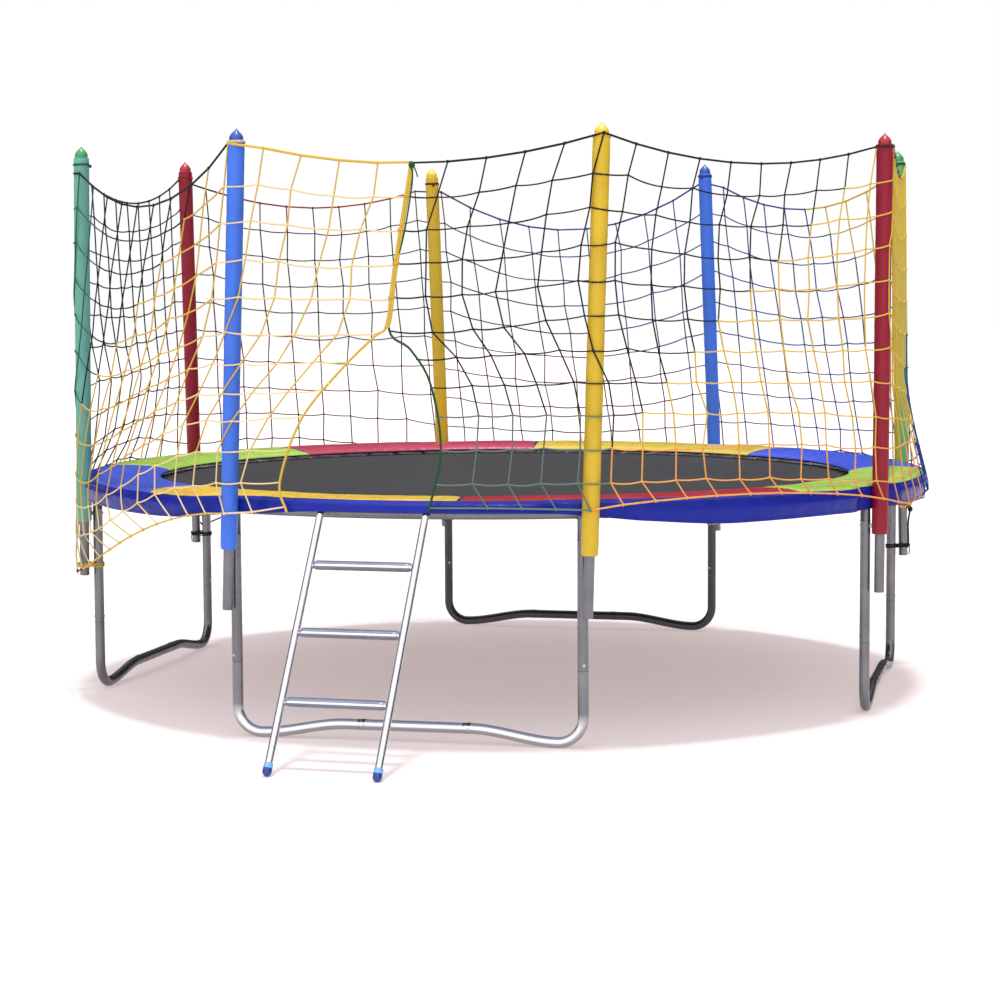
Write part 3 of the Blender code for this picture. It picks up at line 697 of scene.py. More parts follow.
def build_ring():
    for index, upright in enumerate(UPRIGHTS):
        start = upright + RAIL_JOINT_OFFSET - STEP
        path = np.array([polar(RING_R, start + STEP * step / 60, RING_Z) for step in range(61)])
        path = at_lengths(path, np.linspace(0.0006, lengths_along(path)[-1], 61))
        shape = Shape()
        joint = lengths_along(path)[-1] - 0.0005
        shape.tube(*swaged(path, (joint,), spacing=0.02), 24, 0, up=UP)
        heights = (SOCKET_BOTTOM_Z, SOCKET_BOTTOM_Z + 0.004, RING_Z - 0.008)
        socket = [polar(RING_R, upright, z) for z in heights]
        shape.tube(socket, [SOCKET_R + 0.0012, SOCKET_R, SOCKET_R], 24, 0)
        weld_bead(shape, upright, 0)
        spot = polar(RING_R - SOCKET_R, upright, SOCKET_BOTTOM_Z + 0.026)
        screw(shape, spot, -outward(upright), 1, 0.004)
        paints, node = [GALVANISED, BOLT_ZINC], f"frame_rail_{index + 1}"
        shape.object(f"ring_rail_{index + 1}", paints, "galvanised_steel", node)


# ---- Net poles -------------------------------------------------------------------------------

CAP_PROFILE = (  # from the rim to the point, as (share of the cap's radius, height)
    *((1.02, 0.000), (1.0, 0.006), (1.01, 0.010), (0.97, 0.016), (0.86, 0.022), (0.66, 0.029)),
    *((0.42, 0.035), (0.22, 0.0395), (0.14, 0.043), (0.08, 0.0462)),
)


def sleeve_rings(index, rim_z):
    """Cross-sections of a foam sleeve, a little dented and drawn in at its ends."""
    count = 150
    length = rim_z - 0.001 - SLEEVE_BOTTOM_Z
    levels = [SLEEVE_BOTTOM_Z + length * step / count for step in range(count + 1)]
    normals, sideways = frames_along(np.array([pole_centre(index, z) for z in levels]))
    number = index + 1
    rings = []
    for z, normal, side in zip(levels, normals, sideways):
        end = min(z - SLEEVE_BOTTOM_Z, rim_z - z)
        tuck = -0.0035 * exp(-end / 0.0022) - 0.0012 * exp(-(((end - 0.020) / 0.006) ** 2))
        ring = []
        for turn in turns(40):
            around = normal * cos(turn) + side * sin(turn)
            dent = 0.0009 * ripple(3 * around[0] + number * 7, 3 * around[1], z * 6)
            dent += 0.0005 * ripple(9 * around[0] + number, 9 * around[1], z * 31)
            ring.append(pole_centre(index, z) + around * (SLEEVE_R - 0.0006 + tuck + dent))
        rings.append(ring)
    return rings


def build_poles():
    rim_z = POLE_TIP_Z - CAP_HEIGHT
    for index, colour in enumerate(POLE_COLOURS):
        number = index + 1
        shape = Shape()
        heights = [POLE_BOTTOM_Z + lift for lift in (0.0, 0.0012, 0.004)] + [0.8, 1.6, rim_z + 0.02]
        radii = [POLE_R - 0.0022, POLE_R - 0.0006] + [POLE_R] * 4
        shape.tube([pole_centre(index, z) for z in heights], radii, 28, 0)
        shape.object(f"pole_tube_{number}", [GALVANISED], "galvanised_steel", f"net_pole_{number}")

        shape = Shape()
        shape.loft(sleeve_rings(index, rim_z))
        if index in BOLT_TURNS:
            facing = outward(UPRIGHTS[index] + BOLT_TURNS[index])
            screw(shape, pole_centre(index, BOLT_Z) + facing * (SLEEVE_R - 0.001), facing, 1)
        paints, node = [SLEEVES[index], PLUG_DARK], f"pole_sleeve_{number}"
        shape.object(f"foam_sleeve_{number}", paints, f"sleeve_{colour}", node)

        shape = Shape()
        profile = [(0.0002, -0.004), (0.020, -0.004), (0.0262, -0.0035)]
        profile += [(CAP_R * share, z) for share, z in CAP_PROFILE] + [(0.0002, CAP_HEIGHT)]
        axis = unit(pole_centre(index, 2.0) - pole_centre(index, 1.0))
        shape.turned(profile, pole_centre(index, rim_z), axis, 40)
        shape.object(f"onion_cap_{number}", [CAPS[index]], f"cap_{colour}", f"pole_cap_{number}")

        shape = Shape()
        z = BOLT_Z - 0.02
        out = away(pole_centre(index, BOLT_Z))
        inner = polar(RING_R + TUBE_R - 0.002, UPRIGHTS[index], z)
        shape.tube([inner, pole_centre(index, z) - out * (POLE_R - 0.002)], 0.0085, 20, 0)
        screw(shape, polar(RING_R - TUBE_R, UPRIGHTS[index], z), -out, 0, 0.0055)
        shape.object(f"pole_spacer_{number}", [BOLT_ZINC], "galvanised_steel")


# ---- Bed and springs -------------------------------------------------------------------------

MAT_PROFILE = (  # radius, height over the cloth and material, from the middle to the folded hem
    *((0.002, 0, 0), (0.2, 0, 0), (0.5, 0, 0), (0.8, 0, 0), (1.1, 0, 0), (1.3, 0, 0), (1.42, 0, 0)),
    *((1.508, 0, 1), (1.51, 0.0014, 1), (1.52, 0.0016, 1), (1.54, 0.0016, 1), (1.559, 0.0014, 1)),
    *((1.561, -0.001, 1), (1.558, -0.0029, 0), (0.002, -0.0029, 0)),
)


def build_mat():
    shape = Shape()
    sides = 288
    rings, slots = [], []
    for r, lift, slot in MAT_PROFILE:
        rings.append([polar(r, 360 * k / sides, MAT_TOP_Z - 0.0016 + lift) for k in range(sides)])
        slots += [slot] * sides
    shape.loft(rings, slots[:-sides])
    mat = shape.object("mat_cloth", [MAT_CLOTH, WEBBING], "mat_grey", "jumping_mat", "bed")

    shape = Shape()
    stitches = 560
    z = MAT_TOP_Z + 0.0003
    for seam in (1.514, 1.519, 1.544, 1.550):
        for k in range(stitches):
            here, there = [polar(seam, 360 * part / stitches, z) for part in (k, k + 0.62)]
            shape.tube([here, (here + there) / 2 + UP * 0.0004, there], 0.0005, 4)
    shape.object("mat_stitching", [THREAD], body="bed")

    shape = Shape()
    half = ((1.548, 0.013), (1.552, 0.0145), (1.578, 0.002))
    triangle = [(r, -s) for r, s in half] + [(1.5795, 0.0)] + list(reversed(half))
    band = ((1.52, 0.9135), (1.545, 0.9135), (1.5525, 0.909), (1.545, 0.904), (1.52, 0.904))
    for k in range(SPRING_COUNT):
        out = outward(360 * (k + 0.5) / SPRING_COUNT)
        side = np.cross(UP, out)
        path = [CENTRE + out * r + side * s + UP * (SPRING_Z + 0.0015) for r, s in triangle]
        shape.tube(path, 0.0017, 8, 0, loop=True, up=UP)
        strap = [CENTRE + out * r + UP * z for r, z in band]
        shape.tube(strap, 1.414, 4, 1, up=side, oval=(0.0105, 0.0007))
    shape.object("mat_rings", [SPRING_STEEL, WEBBING], "spring_steel", body="bed")


def spring_path(degrees):
    """One coil spring from the mat's ring to the frame tube, hook to hook."""
    out = outward(degrees)
    side = np.cross(UP, out)
    coils, per_turn = 24, 9
    count = coils * per_turn
    start, end = 1.602, 1.762
    inner = ((1.583, 0.0035), (1.5775, 0.0), (1.578, -0.004), (1.586, -0.0055), (1.596, -0.002))
    outer = ((1.770, 0.0), (1.780, 0.010), (1.790, 0.0165), (1.797, 0.0165), (1.800, 0.011))
    coil = []
    for step in range(count + 1):
        turn = 2 * pi * step / per_turn
        share = step / count
        radius = SPRING_R * min(1.0, 0.35 + 6 * share, 0.35 + 6 * (1 - share))
        coil.append((start + (end - start) * share, -radius * cos(turn), radius * sin(turn)))
    places = [(*hook, 0.0) for hook in inner] + coil + [(*hook, 0.0) for hook in outer]
    return [CENTRE + out * r + side * s + UP * (SPRING_Z + z) for r, z, s in places]


def build_springs():
    groups = 24
    each = SPRING_COUNT // groups
    for group in range(groups):
        shape = Shape()
        for k in range(group * each, group * each + each):
            shape.tube(spring_path(360 * (k + 0.5) / SPRING_COUNT), SPRING_WIRE_R, 5, 0)
        node = "springs" if group == 0 else None
        name = f"coil_springs_{group + 1:02d}"
        obj = shape.object(name, [SPRING_STEEL], "spring_steel", node, None)
        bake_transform(obj)


# ---- Padding ---------------------------------------------------------------------------------

PANEL_STEPS = 84
PAD_TOP = (  # share of the way out, height below the crest
    *((0.000, 0.0345), (0.002, 0.0300), (0.012, 0.0245), (0.040, 0.0195), (0.090, 0.0150)),
    *((0.160, 0.0105), (0.260, 0.0055), (0.400, 0.0015), (0.540, 0.0000), (0.680, 0.0008)),
    *((0.790, 0.0035), (0.870, 0.0075), (0.930, 0.0125), (0.970, 0.0175), (0.992, 0.0225)),
    (1.000, 0.0270),
)
PAD_BOTTOM = (0.990, 0.8, 0.5, 0.2, 0.004)  # shares of the way out
POLE_DENT = 0.0365


def near_pole(degrees):
    """1 where the padding's rim is pressed in behind a pole, 0 away from it."""
    from_pole = min(away_from(degrees, upright + 0.6) for upright in UPRIGHTS)
    return 1 - smoothstep((from_pole - 3.3) / 3.0)


def skirt_bottom(degrees):
    """The skirt's lower edge: ridden up over the ladder, with an uneven hem elsewhere."""
    turned = (degrees - LADDER_ANGLE + 180) % 360 - 180
    past = (turned - 15 if turned > 0 else -turned - 5) / 30
    x, y = cos(radians(degrees)) * 6, sin(radians(degrees)) * 6
    return SKIRT_BOTTOM_Z + SKIRT_LIFT * (1 - smoothstep(past)) + 0.0045 * ripple(x, y, 4.0)


def fullness(place):
    return sin(pi * min(max(place, 0.02), 0.98)) ** 0.5


def pad_height(degrees, place):
    """The padding's top at an angle and a share of the way out: crown, dimples and gathers."""
    x, y, _ = polar(PAD_INNER_R + (PAD_OUTER_R - PAD_INNER_R) * place, degrees)
    crumpled = 1.0 + 1.3 * smoothstep(1.4 - away_from(degrees, -126) / 10)
    along = degrees * 0.55
    rumple = 0.0022 * ripple(x * 5, y * 5, 3.0) + 0.0014 * ripple(x * 17, y * 17)
    gathers = ripple(along * 4.4, 2.0) * exp(-place / 0.12)
    gathers += 0.7 * ripple(along * 5.2, 9.0) * exp(-(1 - place) / 0.10)
    uneven = fullness(place) * crumpled * (rumple + 0.0034 * gathers)
    return PAD_TOP_Z + 0.003 - table(place, PAD_TOP) + uneven


def cover_share(degrees):
    """How far out the coloured panels show before the blue skirt covers them."""
    left = smoothstep(1.6 - away_from(degrees, -131) / 16)
    right = smoothstep(2.1 - away_from(degrees, -12) / 16)
    return 0.865 + 0.115 * max(left, right)


def panel_section(degrees, number, share):
    """The padding's closed outline at one angle; share runs from 0 to 1 along the panel."""
    along = degrees * 0.55
    inner = PAD_INNER_R + 0.0035 * ripple(along * 1.7, number, 0.3)
    inner += 0.0015 * ripple(along * 6, number, 7.0)
    width = PAD_OUTER_R - POLE_DENT * near_pole(degrees) - inner
    pinch = exp(-min(share, 1 - share) * radians(STEP) * 1.7 / 0.012)
    section = []
    for place, _ in PAD_TOP:
        z = pad_height(degrees, place) - 0.0075 * pinch * fullness(place)
        z -= 0.0040 * smoothstep((place - cover_share(degrees)) / 0.02)
        tucked = 0.0045 * smoothstep((place - 0.93) / 0.06)
        section.append(polar(inner + width * place - tucked, degrees, z))
    for place in PAD_BOTTOM:
        section.append(polar(inner + width * place, degrees, PAD_BOTTOM_Z + 0.0060 * place))
    return section


def build_panels():
    corners = len(PAD_TOP) + len(PAD_BOTTOM)
    for number, (key, colour) in enumerate(PANEL_COLOURS):
        start = FIRST_PANEL + STEP * number
        rings, slots = [], []
        for step in range(PANEL_STEPS + 1):
            share = step / PANEL_STEPS
            rings.append(panel_section(start + 0.05 + (STEP - 0.1) * share, number, share))
            covered = cover_share(start + STEP * share) + 0.03
            for row in range(corners - 2, -2, -1):
                shown = 0 < row < len(PAD_TOP) - 1 and PAD_TOP[row][0] <= covered
                slots.append(0 if shown else 1)
        shape = Shape()
        shape.loft(rings, slots[:-corners], flip=True)
        paints = [vinyl(f"pad_{key}", colour), PAD_LINING]
        node = "spring_pad" if number == 0 else None
        shape.object(f"pad_panel_{number + 1}", paints, "pad_blue", node)


def build_seams():
    """Bound seams between the panels, with a row of stitches on both sides."""

    def spot(r, degrees, lift=0.0):
        place = (r - PAD_INNER_R) / (PAD_OUTER_R - PAD_INNER_R)
        return polar(r, degrees, PAD_TOP_Z - 0.0035 - table(place, PAD_TOP) + lift)

    shape = Shape()
    for number in range(8):
        degrees = FIRST_PANEL + STEP * number
        start = PAD_INNER_R + 0.006
        width = (PAD_OUTER_R - PAD_INNER_R) * (cover_share(degrees) - 0.01) - 0.006
        path = [spot(start + width * step / 38, degrees) for step in range(39)]
        shape.tube(path, 1.0, 8, 0, up=UP, oval=(0.0014, 0.0062))
        for side in (-0.13, 0.13):
            for k in range(41):
                here = PAD_INNER_R + 0.012 + k * 0.0066
                ends = [spot(r, degrees + side, 0.002) for r in (here, here + 0.0042)]
                shape.tube(ends, 0.0007, 4, 1)
    shape.object("pad_seams", [SKIRT_BLUE, THREAD], "pad_blue")


def skirt_spot(degrees, z, lift=0.0):
    """A place on the skirt at a height: out over the foam, then in towards the hem."""
    depth = SKIRT_TOP_Z - z
    x, y = cos(radians(degrees)) * 14, sin(radians(degrees)) * 14
    folds = 0.0042 * ripple(x, y, depth * 5) + 0.0022 * ripple(x * 3.1, y * 3.1, depth * 16)
    pressed = near_pole(degrees)
    curve = 0.0062 * smoothstep(depth / 0.026) - 0.017 * smoothstep((depth - 0.028) / 0.062)
    curve = curve * (1 - pressed) + 0.0035 * smoothstep(depth / 0.02) * pressed
    curve += folds * smoothstep(depth / 0.06) * (1 - 0.9 * pressed)
    return polar(PAD_OUTER_R - 0.0005 - POLE_DENT * pressed + curve + lift, degrees, z)


def lifts_with_ladder(piece):
    """Bakes the piece's placement into its mesh; no part of it moves with the ladder's rails."""
    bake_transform(piece)


def build_skirt():
    """The blue skirt, from under the panels' rim down to its hem."""
    steps, levels = 960, 16
    rings = []
    for step in range(steps):
        degrees = 360 * step / steps
        bottom = skirt_bottom(degrees)
        width = PAD_OUTER_R - PAD_INNER_R - POLE_DENT * near_pole(degrees)
        start = cover_share(degrees)
        over = []
        for step_out in range(7):
            place = start + (0.996 - start) * step_out / 6
            z = pad_height(degrees, place) + (0.0017 if step_out else 0.0006)
            over.append(polar(PAD_INNER_R + width * place, degrees, z))
        drop = SKIRT_TOP_Z - bottom
        down = [skirt_spot(degrees, SKIRT_TOP_Z - drop * k / levels) for k in range(levels + 1)]
        inward = -away(down[-1]) * SKIRT_THICKNESS
        inside = [point + inward for point in reversed(down)]
        rings.append(over + down + inside + [point - UP * 0.0012 for point in reversed(over)])
    shape = Shape()
    shape.loft(rings, 0, loop=True, flip=True)
    skirt = shape.object("pad_skirt", [SKIRT_BLUE], "pad_blue", body=None)
    lifts_with_ladder(skirt)
    shape = Shape()
    count = 1500
    for row in (0.008, 0.0115):
        for k in range(count):
            angles = [360 * part / count for part in (k, k + 0.6)]
            ends = [skirt_spot(angle, skirt_bottom(angle) + row, 0.0004) for angle in angles]
            shape.tube(ends, 0.0005, 4)
    lifts_with_ladder(shape.object("skirt_stitching", [SKIRT_BLUE], "pad_blue", body=None))


# ---- Safety net ------------------------------------------------------------------------------


def net_place(bays, z, lift=0.0):
    """A point on the net's surface: round below, straight from pole to pole on top."""
    left = floor(bays + 1e-9)
    part = bays - left
    ends = []
    for index in (left, left + 1):
        centre = (pole_centre(index, z) - CENTRE) * FLAT
        ends.append(centre + unit(centre) * (SLEEVE_R + NET_STANDOFF))
    straight = ends[0] + (ends[1] - ends[0]) * part
    near, far = np.linalg.norm(ends[0]), np.linalg.norm(ends[1])
    radius = near + (far - near) * part - NET_TUCK * part * (1 - part)
    first = atan2(ends[0][1], ends[0][0]) * 180 / pi
    around = polar(radius, first + STEP * part) - CENTRE
    rise = TAUT_RISE if left % 8 in TAUT_BAYS else NET_TOP_Z - NET_ROUND_Z
    straightness = min(max((z - NET_ROUND_Z) / rise, 0.0), 1.0)
    if left % 8 == CHORD_BAY:
        straightness = max(straightness, smoothstep((CHORD_Z - z) / 0.05))
    spot = around + (straight - around) * straightness
    return CENTRE + spot + unit(spot) * lift + UP * z


def front_lean(bays, row):
    """How far the squares lean, in bays, on both sides of the first pole."""
    swing = -0.055 * sin(pi * min(row, 8) / 8)
    foot = max(0.045 - 0.15 * bays, 0.0)
    return swing + foot * smoothstep((row - 4) / 3) + 0.035 * smoothstep(row - 10)


def back_lean(bays, row):
    return (-0.045 - 0.055 * max(3 - bays, 0.0)) * row / 8


def left_lean(bays, row):
    if row <= 4:
        return -0.062 * row / 4
    drawn = -0.062 - 0.28 * smoothstep((row - 3.6) / 6.4)
    easing = table(row, ((6, 0.0), (8, 0.05), (10, 0.16), (11, 0.33)))
    return min(drawn + easing * max(7.35 - bays, 0.0) + (0.028 if row == NET_ROWS else 0.0), 0.0)


def lean(bays, row):
    """The front's lean turns into the back's over the second bay, and that into the left's."""
    to_back, to_left = smoothstep(bays - 1), smoothstep(bays - 5)
    front, back, left = [shape(bays, row) for shape in (front_lean, back_lean, left_lean)]
    return left * to_left + back * (to_back - to_left) + front * (1 - to_back)


# Heights of the net's rows where they pass the poles and in the middle of each bay, for the rows
# counted in ROW_MARKS; the rows between share out the difference.
ROW_MARKS = (0, 5, 8, 10, 11)
ROWS_AT_POLES = (
    (2.327, 1.655, 1.276, 1.022, 0.922),
    (2.334, 1.642, 1.229, 0.957, 0.885),
    (2.302, 1.532, 1.070, 0.810, 0.735),
    (2.302, 1.532, 1.070, 0.760, 0.560),
    (2.282, 1.507, 1.042, 0.740, 0.560),
    (2.288, 1.568, 1.136, 0.840, 0.560),
    (2.285, 1.510, 0.950, 0.700, 0.530),
    (2.324, 1.586, 1.250, 1.007, 0.889),
)
ROWS_MID_BAY = (
    (2.228, 1.622, 1.270, 1.014, 0.958),
    (2.220, 1.560, 1.170, 0.985, 0.800),
    (2.122, 1.466, 1.064, 0.830, 0.690),
    (2.046, 1.392, 1.000, 0.780, 0.680),
    (2.158, 1.503, 1.118, 0.860, 0.680),
    (2.148, 1.507, 1.127, 0.960, 0.880),
    (2.090, 1.430, 1.065, 0.840, 0.715),
    (2.225, 1.591, 1.275, 1.020, 0.930),
)
HEM_POWERS = {0: 0.7, 5: 0.4}  # bays whose hem rises quickly beside its poles
LEFT_BAY = 6
LEFT_BAY_TILT = (-0.10, 0.47, 0.48, 0.40, 0.32)  # how much more the rows drop on the far side


def row_z(bays, row):
    """The height of a row of knots; row 0 is the top rope and the last one the hem."""
    left = int(bays % 8)
    part = bays % 8 - left
    marked = (ROWS_AT_POLES[left], ROWS_AT_POLES[(left + 1) % 8], ROWS_MID_BAY[left], LEFT_BAY_TILT)
    start, end, middle, tilt = [float(np.interp(row, ROW_MARKS, values)) for values in marked]
    rise = 4 * part * (1 - part)
    if row == NET_ROWS and left in HEM_POWERS:
        rise = sin(pi * part) ** HEM_POWERS[left]
    z = start + (end - start) * part + (middle - (start + end) / 2) * rise
    return z + (tilt * part * (1 - part) * (2 * part - 1) if left == LEFT_BAY else 0.0)


def column_bays(column):
    return (DOOR_SQUARE if column < 0 else SQUARE) * column


def edge_bays(points, z):
    return 7 + table(z, [(height, share) for share, height in points])


def knot_places():
    """Where every knot of the net lies, as (bays, height), with the looseness of tied cord."""
    places = {}
    chance = random.Random(5)
    for row in range(NET_ROWS + 1):
        loose = 0.0 if row in (0, NET_ROWS) else 1.0
        for column in range(FIRST_COLUMN - 1, LAST_COLUMN + 2):
            jitter = [chance.gauss(0, LOOSENESS) * loose for _ in range(2)]
            if column < FIRST_COLUMN:
                z = row_z(-0.45, row)
                bays = edge_bays(DOOR_RIGHT, z) - 8
            elif column > LAST_COLUMN:
                z = row_z(7.4, row)
                bays = edge_bays(DOOR_LEFT, z)
            else:
                start = column_bays(column)
                bays = start + lean(start, row) + jitter[0]
                z = row_z(bays, row) + jitter[1]
            places[column, row] = (bays, z)
    return places


# Each colour runs up to its number of bays.
ROPE_COLOURS = (
    *((1.55, "black"), (2.5, "yellow"), (3.84, "blue"), (4.05, "maroon"), (4.8, "crimson")),
    *((4.95, "maroon"), (6.95, "black"), (9, "yellow")),
)
HEM_COLOURS = ((0, "grey_green"), (1.75, "orange"), (6.2, "black"), (7, "yellow"), (9, "cream"))
BAND_COLOURS = ((9, "black"), (24, "orange"), (37, "blue"))


def colour_before(value, colours):
    return next((name for limit, name in colours if value < limit), None)


def square_colour(column, row, vertical):
    """The net is knitted in diagonal bands of colour, counted by column plus row."""
    band = column + row
    bays = column_bays(column)
    if column < 0 and row >= 8:
        return "grey_green"
    if 9 <= band < 24 and row < 9:
        return "yellow"
    if band < 37:
        return colour_before(band, BAND_COLOURS)
    if bays < 5.2:
        return "black" if 1 <= row <= 4 and band >= 39 else "maroon"
    if band < 66:
        return "teal" if 5.92 < bays < 6.2 else "black"
    return "cream" if row >= 9 or not (vertical or bays < 6.9) else "yellow"


def cord_slot(bays, column, row, vertical=False):
    if row in (0, NET_ROWS) and not vertical:
        name = colour_before(bays, HEM_COLOURS if row else ROPE_COLOURS)
    else:
        name = square_colour(column, row, vertical)
    return CORD_SLOTS[name]


NET_PIECES = (  # the number of bays that each piece runs up to, its name and its finish
    (0, "door_right", "net_green"),
    (2, "right", "net_black"),
    (5, "back", "net_maroon"),
    (7, "left", "net_yellow"),
    (9, "door_left", "net_yellow"),
)


def run_between(start, end, sag):
    """Points on the net's surface from one knot to the next."""
    points = []
    for t in np.arange(6) / 5:
        bays = start[0] + (end[0] - start[0]) * t
        points.append(net_place(bays, start[1] + (end[1] - start[1]) * t - sag * 4 * t * (1 - t)))
    return points


def build_net():
    shapes = {name: Shape() for _, name, _ in NET_PIECES}
    places = knot_places()
    chance = random.Random(8)

    def piece(bays):
        return shapes[next(name for limit, name, _ in NET_PIECES if bays < limit)]

    for row in range(NET_ROWS + 1):
        rope = row in (0, NET_ROWS)
        for column in range(FIRST_COLUMN - 1, LAST_COLUMN + 1):
            start, end = places[column, row], places[column + 1, row]
            middle = (start[0] + end[0]) / 2
            radius = CORD_R
            if rope:
                radius = HEM_R if row else DOOR_ROPE_R if middle >= 7 else ROPE_R
            path = run_between(start, end, 0.0 if rope else 0.003 + 0.004 * chance.random())
            piece(middle).tube(path, radius, 6, cord_slot(middle, column, row), caps=False)
    for column in range(FIRST_COLUMN, LAST_COLUMN + 1):
        for row in range(NET_ROWS):
            start, end = places[column, row], places[column, row + 1]
            middle = (start[0] + end[0]) / 2
            slot = cord_slot(middle, column, row, True)
            piece(middle).tube(run_between(start, end, 0.0), CORD_R, 6, slot, caps=False)
    for (column, row), (bays, z) in places.items():
        if FIRST_COLUMN <= column <= LAST_COLUMN:
            size = 0.0062 if row in (0, NET_ROWS) else KNOT_R
            piece(bays).ball(net_place(bays, z), size, 7, cord_slot(bays, column, row), 1.15)
    build_door_edges(shapes)
    for name in ("right", "back", "left", "door_left", "door_right"):
        finish = next(finish for _, key, finish in NET_PIECES if key == name)
        shapes[name].object(f"net_cords_{name}", CORD_PAINTS, finish, f"net_{name}")


def edge_path(points, lift=0.0):
    curve = smooth_path([(7 + share, z, 0.0) for share, z in points], 8)
    return [net_place(bays, z, lift) for bays, z, _ in curve]


def build_door_edges(shapes):
    """The doorway's two edge ropes, laced together above its neck."""
    left, right = shapes["door_left"], shapes["door_right"]
    yellow, green = CORD_SLOTS["yellow"], CORD_SLOTS["green"]
    edge = edge_path(DOOR_LEFT, 0.003)
    upper = [point for point in edge if point[2] > 1.60]
    left.tube([point for point in edge if point[2] <= 1.62], 0.0050, 10, yellow)
    left.tube(upper, 0.0062, 12, yellow)
    left.tube([point + np.array([0.0095, -0.002, 0]) for point in upper], 0.0050, 10, yellow)
    for row in range(1, 5):
        tied = at_height(upper, row_z(7.49, row)) + np.array([0.005, -0.001, 0])
        left.tube(wound((tied, tied), 0.0125, 2, 0.0045, 14), 0.0026, 6, yellow)
    right.tube(edge_path(DOOR_RIGHT), 0.0046, 10, green)
    top = edge[-1]
    right.ball(top + np.array([0.004, 0, 0]), 0.013, 10, green, 1.2)
    tail = [top, top + np.array([0.018, -0.008, -0.012]), top + np.array([0.030, -0.01, -0.045])]
    right.tube(smooth_path(tail), 0.0028, 6, green)
    loop = [top + np.array([0.004, -0.006, 0.0])]
    for drop, beside_edge in ((0.05, 0.017), (0.15, 0.020), (0.25, 0.019), (0.33, 0.012)):
        loop.append(at_height(upper, top[2] - drop) + np.array([beside_edge, -0.005, 0.0]))
    right.tube(smooth_path(loop), 0.0030, 8, green)


# ---- Ties ------------------------------------------------------------------------------------

TIE_COLOURS = ("yellow", "crimson", "green", "blue", "maroon", "crimson", "teal", "cream")
FOOT_TIE_COLOURS = {2: "black", 3: "cream", 4: "black", 5: "black", 6: "yellow"}
FOOT_TIE_Z = 0.545
FOOT_KNOT_Z = 0.556


def wound(centres, radius, count, rise, per_turn=20):
    """A cord wound round one or two parallel tubes, as a rounded loop that climbs a little."""
    gap = centres[1] - centres[0]
    length = np.linalg.norm(gap)
    along = gap / length if length > 1e-6 else np.array([1.0, 0, 0])
    across = np.cross(UP, along)
    points = []
    for step in range(count * per_turn + 1):
        turn = 2 * pi * step / per_turn
        spot = centres[cos(turn) > 0] + (along * cos(turn) + across * sin(turn)) * radius
        points.append(spot + UP * rise * step / per_turn)
    return points


def build_ties():
    """Cord wound round each pole: under its cap, and at its lower end where the hem is tied."""
    for index in range(8):
        shape = Shape()
        centre = pole_centre(index, min(ROWS_AT_POLES[index][0], POLE_TIP_Z - CAP_HEIGHT - 0.010))
        slot = CORD_SLOTS[TIE_COLOURS[index]]
        shape.tube(wound((centre, centre), SLEEVE_R + 0.0012, 2, 0.0052), 0.0024, 6, slot)
        out = away(centre)
        shape.ball(centre - out * (SLEEVE_R + 0.004), 0.0075, 9, slot)

        def outside(z):
            return pole_centre(index, z) + out * (POLE_R + 0.006)

        if index in FOOT_TIE_COLOURS:
            slot = CORD_SLOTS[FOOT_TIE_COLOURS[index]]
            pair = (polar(RING_R, UPRIGHTS[index], FOOT_TIE_Z), pole_centre(index, FOOT_TIE_Z))
            shape.tube(wound(pair, TUBE_R + 0.0030, 3, 0.0065), 0.0029, 6, slot)
            knot = outside(FOOT_KNOT_Z)
            shape.ball(knot, 0.009, 9, slot)
            tail = [knot, knot + out * 0.006 - UP * 0.02, knot + out * 0.002 - UP * 0.045]
            shape.tube(smooth_path(tail), 0.0024, 6, slot)
        if index == CHORD_BAY + 1:
            top = net_place(index, 0.722)
            hang = [top] + [outside(z) for z in (0.66, 0.60, FOOT_KNOT_Z)]
            shape.tube(smooth_path(hang), 0.0045, 8, slot)
            shape.ball(top, 0.013, 10, slot)
        shape.object(f"net_tie_{index + 1}", CORD_PAINTS, "net_black")


# ---- Ladder ----------------------------------------------------------------------------------

RAIL_OFFSET = TUBE_R + HOOK_CLEARANCE + RAIL_R
SLOPE = radians(LADDER_SLOPE)
LADDER_FOOT = (RING_Z + RAIL_OFFSET * sin(SLOPE) - FOOT_R) / cos(SLOPE)
PIVOT = polar(HINGE_OUT, LADDER_ANGLE, RING_Z)
OUTWARD = away(PIVOT)
SIDEWAYS = np.cross(UP, OUTWARD)  # from the ladder's left to its right, seen from outside
RAIL_NORMAL = tilted(OUTWARD, LADDER_SLOPE)
RAIL_DOWN = tilted(OUTWARD, LADDER_SLOPE - 90)
CUP_PROFILE = (  # radius less the foot's, height
    *((0.0, 0.008), (0.0, 0.0125), (-0.0003, 0.013), (0.0, 0.014), (0.0, 0.031)),
    *((-0.0008, 0.0335), (RAIL_R + 0.0002 - FOOT_R, 0.034)),
)
TREAD_SIDES = 36


def rounded(value, power):
    return copysign(abs(value) ** power, value)


